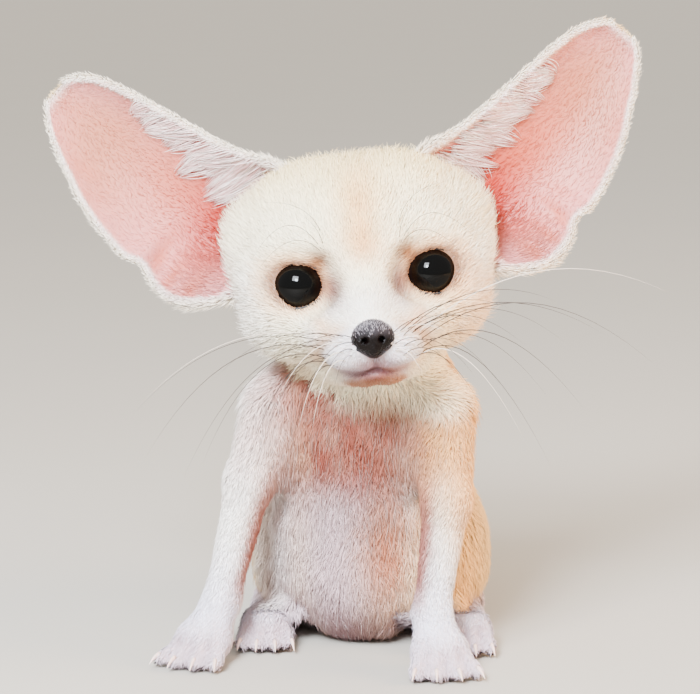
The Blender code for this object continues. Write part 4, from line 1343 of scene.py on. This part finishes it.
# %% Regions of the coat
limbs = np.array([limb_of(node) for node in nodes]).astype(object)
limbs[np.abs(places[:, 2]) == 1] = "ear"
head_local = HEAD.local(points)
body_local = TORSO.local(points)
limb = limbs[fur.corners[:, 0]]
place_of_triangle = head_local[fur.corners[:, 0]]
body_of_triangle = body_local[fur.corners[:, 0]]
on_head = limb == "head"
on_trunk = np.isin(limb, ("neck", "torso", "hind_leg"))
ahead_of_crown = place_of_triangle[:, 1] < 8
ahead_of_back = body_of_triangle[:, 1] < 8
above_haunches = body_of_triangle[:, 2] > 36
REGIONS = {
    "coat_face": (on_head & ahead_of_crown, "coat_cream"),
    "coat_crown": (on_head & ~ahead_of_crown, "coat_cream"),
    "coat_chest": (on_trunk & ahead_of_back, "coat_cream"),
    "coat_back": (on_trunk & ~ahead_of_back & above_haunches, "coat_cream"),
    "coat_haunches": (on_trunk & ~ahead_of_back & ~above_haunches, "coat_cream"),
    "coat_forelegs": (limb == "foreleg", "coat_white"),
    "coat_feet": (np.isin(limb, ("forepaw", "hind_foot")), "coat_white"),
    "coat_tail": (np.char.startswith(limb.astype(str), "tail"), "coat_cream"),
    "coat_ear_left": ((limb == "ear") & (place_of_triangle[:, 0] > 0), "ear_pink"),
    "coat_ear_right": ((limb == "ear") & (place_of_triangle[:, 0] < 0), "ear_pink"),
}
for name, (chosen, slot) in REGIONS.items():
    dress(tufts(name, Roots(fur, chosen), 0.0 if slot == "ear_pink" else 0.8))

# %% [markdown]
# ## Eyes, nose, claws and whiskers
#
# The eyes are balls with a slight bulge of the cornea, nearly black under a wet coat. The nose keeps its
# solid's shape and nostrils, pebbled and greyer on top. Claws, brow hairs and whiskers are placed along
# the lines that they grow from.

# %% Eyes

def eye_frame(side):
    """The middle of an eye, in metres, and the way it looks."""
    axis = HEAD.direction(Place(turn=side * EYE_FACING).direction((0, -1, 0)))
    return HEAD.point((side * EYE_SPACING / 2, EYE_SET_BACK, 0)), axis


def eye_material(name, side):
    """Black pupil, dark brown iris with fine rays, and a wet surface."""
    graph = Graph(name)
    centre, axis = (tuple(float(value) for value in vector) for vector in eye_frame(side))
    kind = "ShaderNodeVectorMath"
    offset = graph.node(kind, {"operation": "SUBTRACT"}, {0: graph.place(), 1: centre})
    ahead = graph.node(kind, {"operation": "DOT_PRODUCT"}, {0: offset, 1: axis}, "Value")
    lean = (ahead * (1 / (EYE_RADIUS * MM))).maths("ARCCOSINE")
    rays = graph.noise(700.0, 3.0)
    ring = (lean + (rays - 0.5) * 0.05) * (1 / 1.2)
    stops = [
        (0.0, (0.001, 0.001, 0.001)),
        (0.52, (0.001, 0.001, 0.001)),
        (0.58, (0.0015, 0.0008, 0.0006)),
        (0.68, (0.0030, 0.0013, 0.0007)),
        (0.78, (0.002, 0.001, 0.001)),
        (1.0, (0.001, 0.001, 0.001)),
    ]
    graph.set(
        Base_Color=graph.node("ShaderNodeValToRGB", {"stops": stops}, {"Fac": ring}),
        Roughness=0.5,
        Specular_IOR_Level=0.0,
        Coat_Weight=0.35,
        Coat_IOR=1.38,
        Coat_Roughness=0.015,
    )
    return graph.material


for name, side in SIDES.items():
    at, axis = eye_frame(side)
    sphere = bpy.ops.mesh.primitive_uv_sphere_add
    eye = added(sphere, "eyeball_" + name, segments=64, ring_count=40, radius=EYE_RADIUS * MM, location=at)
    settle(eye)
    outward = unit(points_of(eye) - at)
    bulge = 0.35 * ramp(outward @ axis, math.cos(math.radians(46)), math.cos(math.radians(12)))
    move_points(eye, points_of(eye) + MM * bulge[:, None] * outward)
    bpy.ops.object.shade_smooth()
    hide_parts("eye_" + name)
    dress(eye, eye_material("kit_eye_" + name, side))
print("eyes made")

# %% Nose
nose = copied("nose")
nose.name = "nose_pad"
finish_modifier(nose, "REMESH", mode="VOXEL", voxel_size=0.20 * MM)
nose_web = Web(edges_of(nose), len(nose.data.vertices))
move_points(nose, nose_web.relaxed(points_of(nose), 12))
pick(nose)
bpy.ops.object.shade_smooth()
graph = Graph("kit_nose")
top = graph.node("ShaderNodeSeparateXYZ", None, {0: graph.place()}, "Z")
nose_mid = float(HEAD.point((0, -17, -12.2))[2])
height = ((top - nose_mid) * (1 / (2.2 * MM)) + graph.noise(900.0, 3.0) * 0.5).maths("SMOOTH_MIN", 1.0, 0.2)
height = height.maths("MAXIMUM", 0.0)
pebbles = graph.node("ShaderNodeTexVoronoi", None, {"Scale": 2600.0, "Vector": graph.place()}, "Distance")
graph.set(
    Base_Color=graph.mix(height, (0.0016, 0.0006, 0.0005, 1), (0.022, 0.018, 0.021, 1)),
    Specular_IOR_Level=0.12,
    Roughness=0.36 + 0.35 * height,
    Normal=graph.bump(pebbles, 0.00012),
)
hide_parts("nose")
dress(nose, graph.material)
print("nose:", len(nose.data.polygons), "faces")


# %% Claws
CLAW_RADIUS = 0.62
CLAW_TIP = 0.06
CLAW_LENGTH = 3.2


def claw(start, end, number):
    """A small hooked claw: a cone, bent down and set on the end of its toe."""
    ahead = (end - start) * (1.0, 1.0, 0.0)
    ahead /= np.linalg.norm(ahead)
    sizes = {"radius1": CLAW_RADIUS * MM, "radius2": CLAW_TIP * MM, "depth": CLAW_LENGTH * MM}
    made = added(bpy.ops.mesh.primitive_cone_add, "claw_" + str(number), vertices=12, **sizes)
    edited(made, bpy.ops.mesh.subdivide, number_cuts=4)
    share = points_of(made)[:, 2] / (CLAW_LENGTH * MM) + 0.5
    thin = points_of(made)[:, :2] / MM * (0.8, 1.1)
    radius = (1 - 0.9 * share**1.5) / np.maximum(1 - 0.9 * share, 1e-3)
    beside = np.array((-ahead[1], ahead[0], 0.0))
    rise = np.array((0.0, 0.0, 1.0))
    line = end + np.multiply.outer(0.8 + 3.0 * share, ahead) + np.multiply.outer(1.0 - 1.7 * share**2, rise)
    local = line + (thin[:, :1] * radius[:, None]) * beside + (thin[:, 1:] * radius[:, None]) * rise
    move_points(made, KIT.point(local))
    return made


made = [claw(start, end, number) for foot in all_toes() for number, (start, end) in enumerate(foot)]
claws = joined("claws", *made)
edited(claws, bpy.ops.mesh.normals_make_consistent)
bpy.ops.object.shade_smooth()
graph = Graph("kit_claw")
graph.set(
    Base_Color=graph.mix(graph.noise(500.0), (0.72, 0.55, 0.50, 1), (0.55, 0.38, 0.34, 1)),
    Roughness=0.35,
    Subsurface_Weight=0.2,
    Subsurface_Scale=0.0006,
)
dress(claws, graph.material)
print("claws:", len(claws.data.polygons), "faces")


# %% Single hairs
def strands(name, paths, radii, colours, uvs, sides=3):
    """Hairs as thin closed tubes. paths is (hairs, points, 3), and radii is one for each hair."""
    hairs, steps, _ = paths.shape
    ahead = unit(np.gradient(paths, axis=1))
    across = unit(np.cross(ahead, (0.31, 0.52, 0.79)))
    beside = np.cross(ahead, across)
    taper = (1 - (np.arange(steps) / (steps - 1)) ** 1.5)[None, :, None]
    rings = []
    for corner in range(sides):
        angle = 2 * math.pi * corner / sides
        offset = math.cos(angle) * across + math.sin(angle) * beside
        rings.append(paths + radii[:, None, None] * taper * offset)
    rings = np.stack(rings, axis=2)[:, :-1].reshape(hairs, -1, 3)
    verts = np.concatenate([rings, paths[:, -1:]], axis=1)
    per_hair = verts.shape[1]
    faces = []
    for step in range(steps - 2):
        for corner in range(sides):
            low, low_next = step * sides + corner, step * sides + (corner + 1) % sides
            faces += [(low, low_next, low_next + sides), (low, low_next + sides, low + sides)]
    last = (steps - 2) * sides
    faces += [(last + corner, last + (corner + 1) % sides, per_hair - 1) for corner in range(sides)]
    faces += [(0, corner + 1, corner) for corner in range(1, sides - 1)]
    faces = (np.arange(hairs)[:, None, None] * per_hair + np.array(faces)).reshape(-1, 3)
    colours = np.repeat(colours, per_hair, axis=0)
    uvs = np.repeat(uvs, per_hair, axis=0) + BAKE_PATCH * draw.random((hairs * per_hair, 2))
    return mesh_from(name, verts.reshape(-1, 3), faces, uvs, colours)


def arcs(starts, ends, bows, steps):
    """Curved lines from starts to ends, bowed sideways by bows."""
    share = np.linspace(0, 1, steps)[None, :, None]
    bow = 4 * share * (1 - share)
    return starts[:, None] * (1 - share) + ends[:, None] * share + bow * bows[:, None]


def skin_place(local):
    """The points of the skin nearest to places in the head's frame, in metres, and their normals."""
    hits = [skin.closest_point_on_mesh(Vector(place)) for place in HEAD.point(local)]
    return np.array([hit[1] for hit in hits]), np.array([hit[2] for hit in hits])


def combed(starts, normals, lies, lengths, lift, droop, steps, clumps=None, gather=0.6):
    """Curved hairs: they rise from the skin, bend over along the lie and droop. Clumps gather their tips."""
    share = np.linspace(0, 1, steps)[None, :, None]
    lift = np.radians(lift)[:, None, None]
    reach = lengths[:, None, None] * share
    rise = np.sin(lift) * (1 - 0.55 * share)
    paths = starts[:, None] + reach * (np.cos(lift) * lies[:, None] + rise * normals[:, None])
    paths = paths - droop * reach * share * np.array((0.0, 0.0, 1.0))
    if clumps is not None:
        tips = np.zeros((clumps.max() + 1, 3))
        np.add.at(tips, clumps, paths[:, -1])
        tips /= np.maximum(np.bincount(clumps, minlength=len(tips)), 1)[:, None]
        paths = paths + gather * share**1.6 * (tips[clumps] - paths[:, -1])[:, None]
    paths[:, :, 2] = np.maximum(paths[:, :, 2], 2 * FLOOR_GAP)
    return paths


def nearest_clumps(points, count):
    """A number for each point: which of a few of them, drawn at random, it is nearest to."""
    tree = KDTree(count)
    for number, chosen in enumerate(draw.choice(len(points), count, replace=False)):
        tree.insert(Vector(points[chosen]), number)
    tree.balance()
    return np.array([tree.find(Vector(point))[1] for point in points])


graph = Graph("kit_long_hair")
graph.set(Base_Color=graph.attribute("markings"), Roughness=0.6, Specular_IOR_Level=0.12)
long_hair = graph.material
print("material of long hairs:", long_hair.name)


# %% Places on the unwrap for hairs that are placed one by one
vertex_uv = np.zeros((len(points), 2))
vertex_uv[fur.corners.ravel()] = fur.uv.reshape(-1, 2)
skin_tree = KDTree(len(points))
for number, place in enumerate(points):
    skin_tree.insert(Vector(place), number)
skin_tree.balance()


def bake_places(starts):
    """The place on the skin's unwrap of the skin's point nearest to each start."""
    return vertex_uv[[skin_tree.find(Vector(start))[1] for start in starts]]


# %% Fuzz on the nose
class Fuzz:
    """Roots on the top of the nose, where the hair of the bridge thins out over it."""

    def __init__(self, count):
        local = HEAD.local(points_of(nose))
        likely = np.where(local[:, 1] > -20.3, ramp(local[:, 2], -13.0, -9.8), 0.0)
        chosen = draw.choice(len(local), count, replace=False, p=likely / likely.sum())
        self.point = points_of(nose)[chosen]
        self.normal = normals_of(nose)[chosen]
        self.lie = laid(HEAD.direction(np.zeros((count, 3)) + (0, 0.5, 0.9)), self.normal)
        self.hair = np.zeros((count, 4)) + (0.75, 0.11, 20, 0)
        self.colour = np.zeros((count, 3)) + (0.20, 0.18, 0.20)
        self.uv = bake_places(self.point)


dress(tufts("nose_fuzz", Fuzz(650)))

# %% [markdown]
# ## Locks of the ears
#
# From the inner edge of each ear long pale locks reach out across the cup, one over the other like
# feathers. Each lock is some forty hairs whose tips are gathered to a point.

# %% Ear locks
LOCKS = 30
HAIRS_IN_LOCK = 42
LOCK_LEAN = math.radians(52)
LOCK_HAIR_RADIUS = 0.10 * MM
for name, side in SIDES.items():
    shape = Ear(side)
    share = np.sort(draw.random(LOCKS))
    lock_along = -2.0 + 33.0 * share
    lock_sweep = 0.93 - 0.42 * draw.random(LOCKS) * (1 - 0.5 * share)
    clumps = np.repeat(np.arange(LOCKS), HAIRS_IN_LOCK)
    count = len(clumps)
    along = lock_along[clumps] + 1.5 * draw.normal(size=count)
    sweep = np.clip(lock_sweep[clumps] + 0.07 * draw.normal(size=count), 0.2, 0.97)
    starts = shape.front(along, sweep)
    ahead, aside = shape.ways(along, sweep)
    outward = unit(np.cross(ahead, aside) * side)
    outward *= np.sign((outward * -HEAD.direction(shape.back)).sum(axis=1))[:, None]
    lean = LOCK_LEAN + 0.22 * draw.normal(size=LOCKS)[clumps] + 0.08 * draw.normal(size=count)
    lies = np.cos(lean)[:, None] * ahead - np.sin(lean)[:, None] * aside
    lengths = MM * (13.0 - 7.0 * share[clumps]) * draw.uniform(0.65, 1.1, count)
    paths = combed(starts, outward, lies, lengths, draw.uniform(14, 26, count), 0.05, 7, clumps, 0.75)
    tint = draw.uniform(0.0, 1.0, count)[:, None]
    pale = ((1 - 0.7 * tint) * np.array(WHITE) + 0.7 * tint * np.array(EAR_PALE)) ** DEPTH_OF_COLOUR
    colours = pale * draw.uniform(0.9, 1.06, LOCKS)[clumps][:, None]
    radii = np.full(count, LOCK_HAIR_RADIUS)
    locks = strands("ear_locks_" + name, paths, radii, colours, bake_places(starts))
    dress(locks, long_hair)
    print(locks.name, count, "hairs")

# %% [markdown]
# ## Longer hairs
#
# They are single thin hairs, gathered in small clumps.

# %% Longer hairs
LONG_HAIR_RADIUS = 0.065 * MM
# Each row: which triangles, share of the tufts' number, length, lift, droop, gather and shade.
side_place, _, high_place = mirrored(place_of_triangle).T
ear_root = np.linalg.norm((mirrored(place_of_triangle) - (26, 8, 5)) / (1, 1.3, 1.6), axis=1)
on_bridge = on_head & (side_place < 7) & (np.abs(high_place - 4) < 9)
on_cheek = on_head & (high_place < 4) & (side_place > 15)
front_chest = on_trunk & (body_of_triangle[:, 1] < 0) & (body_of_triangle[:, 2] > 26)
LONGER = {
    "crown_hair": (on_head & (high_place > 8), 0.11, 1.9, 42, 0.0, 0.3, 1.0),
    "bridge_hair": (on_bridge, 0.07, 1.5, 20, 0.0, 0.3, 0.42),
    "ear_root_hair": (on_head & (ear_root < 11), 0.30, 2.3, 20, 0.05, 0.5, 1.0),
    "cheek_hair": (on_cheek, 0.12, 1.8, 26, 0.1, 0.4, 1.0),
    "chest_hair": (front_chest, 0.10, 1.7, 30, 0.12, 0.6, 0.85),
    "body_hair": (on_trunk & ~front_chest, 0.045, 1.5, 26, 0.1, 0.3, 1.0),
}
for name, (chosen, thinned, longer, lift, droop, gather, shade) in LONGER.items():
    roots = Roots(fur, chosen, thinned)
    count = len(roots.point)
    clumps = nearest_clumps(roots.point, max(count // 9, 1))
    swing = 0.25 * draw.normal(size=count) + 0.4 * grain(roots.point, 2.0, 3.0)
    lies = unit(roots.lie + swing[:, None] * np.cross(roots.normal, roots.lie))
    lengths = MM * longer * roots.hair[:, 0] * draw.uniform(0.7, 1.2, count)
    lifts = lift + 7 * draw.normal(size=count)
    sunk = roots.point - 0.1 * MM * roots.normal
    paths = combed(sunk, roots.normal, lies, lengths, lifts, droop, 5, clumps, gather)
    colours = shade * np.clip(roots.colour * 0.85 + 0.15 * np.array(WHITE) ** DEPTH_OF_COLOUR, 0, 0.92)
    hairs = strands(name, paths, np.full(count, LONG_HAIR_RADIUS), colours, roots.uv)
    dress(hairs, long_hair)
    print(name, count, "hairs")

# %% Brow hairs
BROW_HAIR_RADIUS = 0.07 * MM
BROW_HAIR_COLOUR = 0.02
# Each row: root, end and bow of one hair beside the inner corner of the eye, in the head's frame.
BROW_HAIRS = (
    ((8.3, -5, 5.5), (22, -4, 19), (-3.4, -1.5, 3.2)),
    ((8.9, -5, 6.2), (26, -2, 3.5), (-1.0, -3.0, 7.5)),
    ((9.4, -5, 5.6), (24, -3, 0.5), (-1.0, -3.0, 5.5)),
    ((8.5, -5, 6.4), (12.5, -6, 14), (-1.2, -1.0, 0.4)),
)
folded_brows = np.array(BROW_HAIRS)
brows = np.concatenate([folded_brows * (side, 1, 1) for side in SIDES.values()])
brows[:, 1] += draw.normal(size=(len(brows), 3)) * (0.9, 0.3, 0.9)
brow_roots, _ = skin_place(brows[:, 0])
paths = arcs(brow_roots, HEAD.point(brows[:, 1]), MM * HEAD.direction(brows[:, 2]), 20)
count = len(paths)
radii = np.full(count, BROW_HAIR_RADIUS)
colours = np.full((count, 3), BROW_HAIR_COLOUR)
brow_hairs = strands("brow_hairs", paths, radii, colours, bake_places(brow_roots), 5)
dress(brow_hairs, long_hair)
print("brow hairs:", count)

# %% Whiskers
WHISKER_ROWS = 4
WHISKER_COLUMNS = 5
WHISKER_RADII = (0.08, 0.125)
WHISKER_DARK = (0.035, 0.024, 0.020)
WHISKER_PALE = (0.60, 0.50, 0.42)
DARK_SHARE = 0.88
whisker_starts = []
whisker_ends = []
whisker_bows = []
for side in (1, -1):
    for row in range(WHISKER_ROWS):
        for column in range(WHISKER_COLUMNS):
            high = -11.5 - 1.7 * row - 0.25 * column
            root = np.array((side * (4.6 + 1.35 * column), -17.5 + 2.2 * column, high))
            length = (13 + 8.5 * column) * (1.12 - 0.16 * row) * draw.uniform(0.8, 1.15)
            fan = math.radians(12 - 17 * row - (14 if side < 0 else 0) + draw.normal() * 6)
            aim = np.array((side * math.cos(fan), -0.42 + 0.14 * column, math.sin(fan)))
            whisker_starts.append(root)
            whisker_ends.append(root + length * aim / np.linalg.norm(aim) + (0, 0, -0.16 * length))
            whisker_bows.append((0.0, -0.05 * length, (0.16 + 0.05 * row) * length))
whisker_starts, _ = skin_place(np.array(whisker_starts))
paths = arcs(whisker_starts, HEAD.point(whisker_ends), MM * HEAD.direction(whisker_bows), 16)
count = len(paths)
tones = np.where(draw.random(count)[:, None] < DARK_SHARE, WHISKER_DARK, WHISKER_PALE)
radii = draw.uniform(*WHISKER_RADII, count) * MM
whiskers = strands("whiskers", paths, radii, tones, bake_places(whisker_starts), 5)
dress(whiskers, long_hair)
print("whiskers:", count)
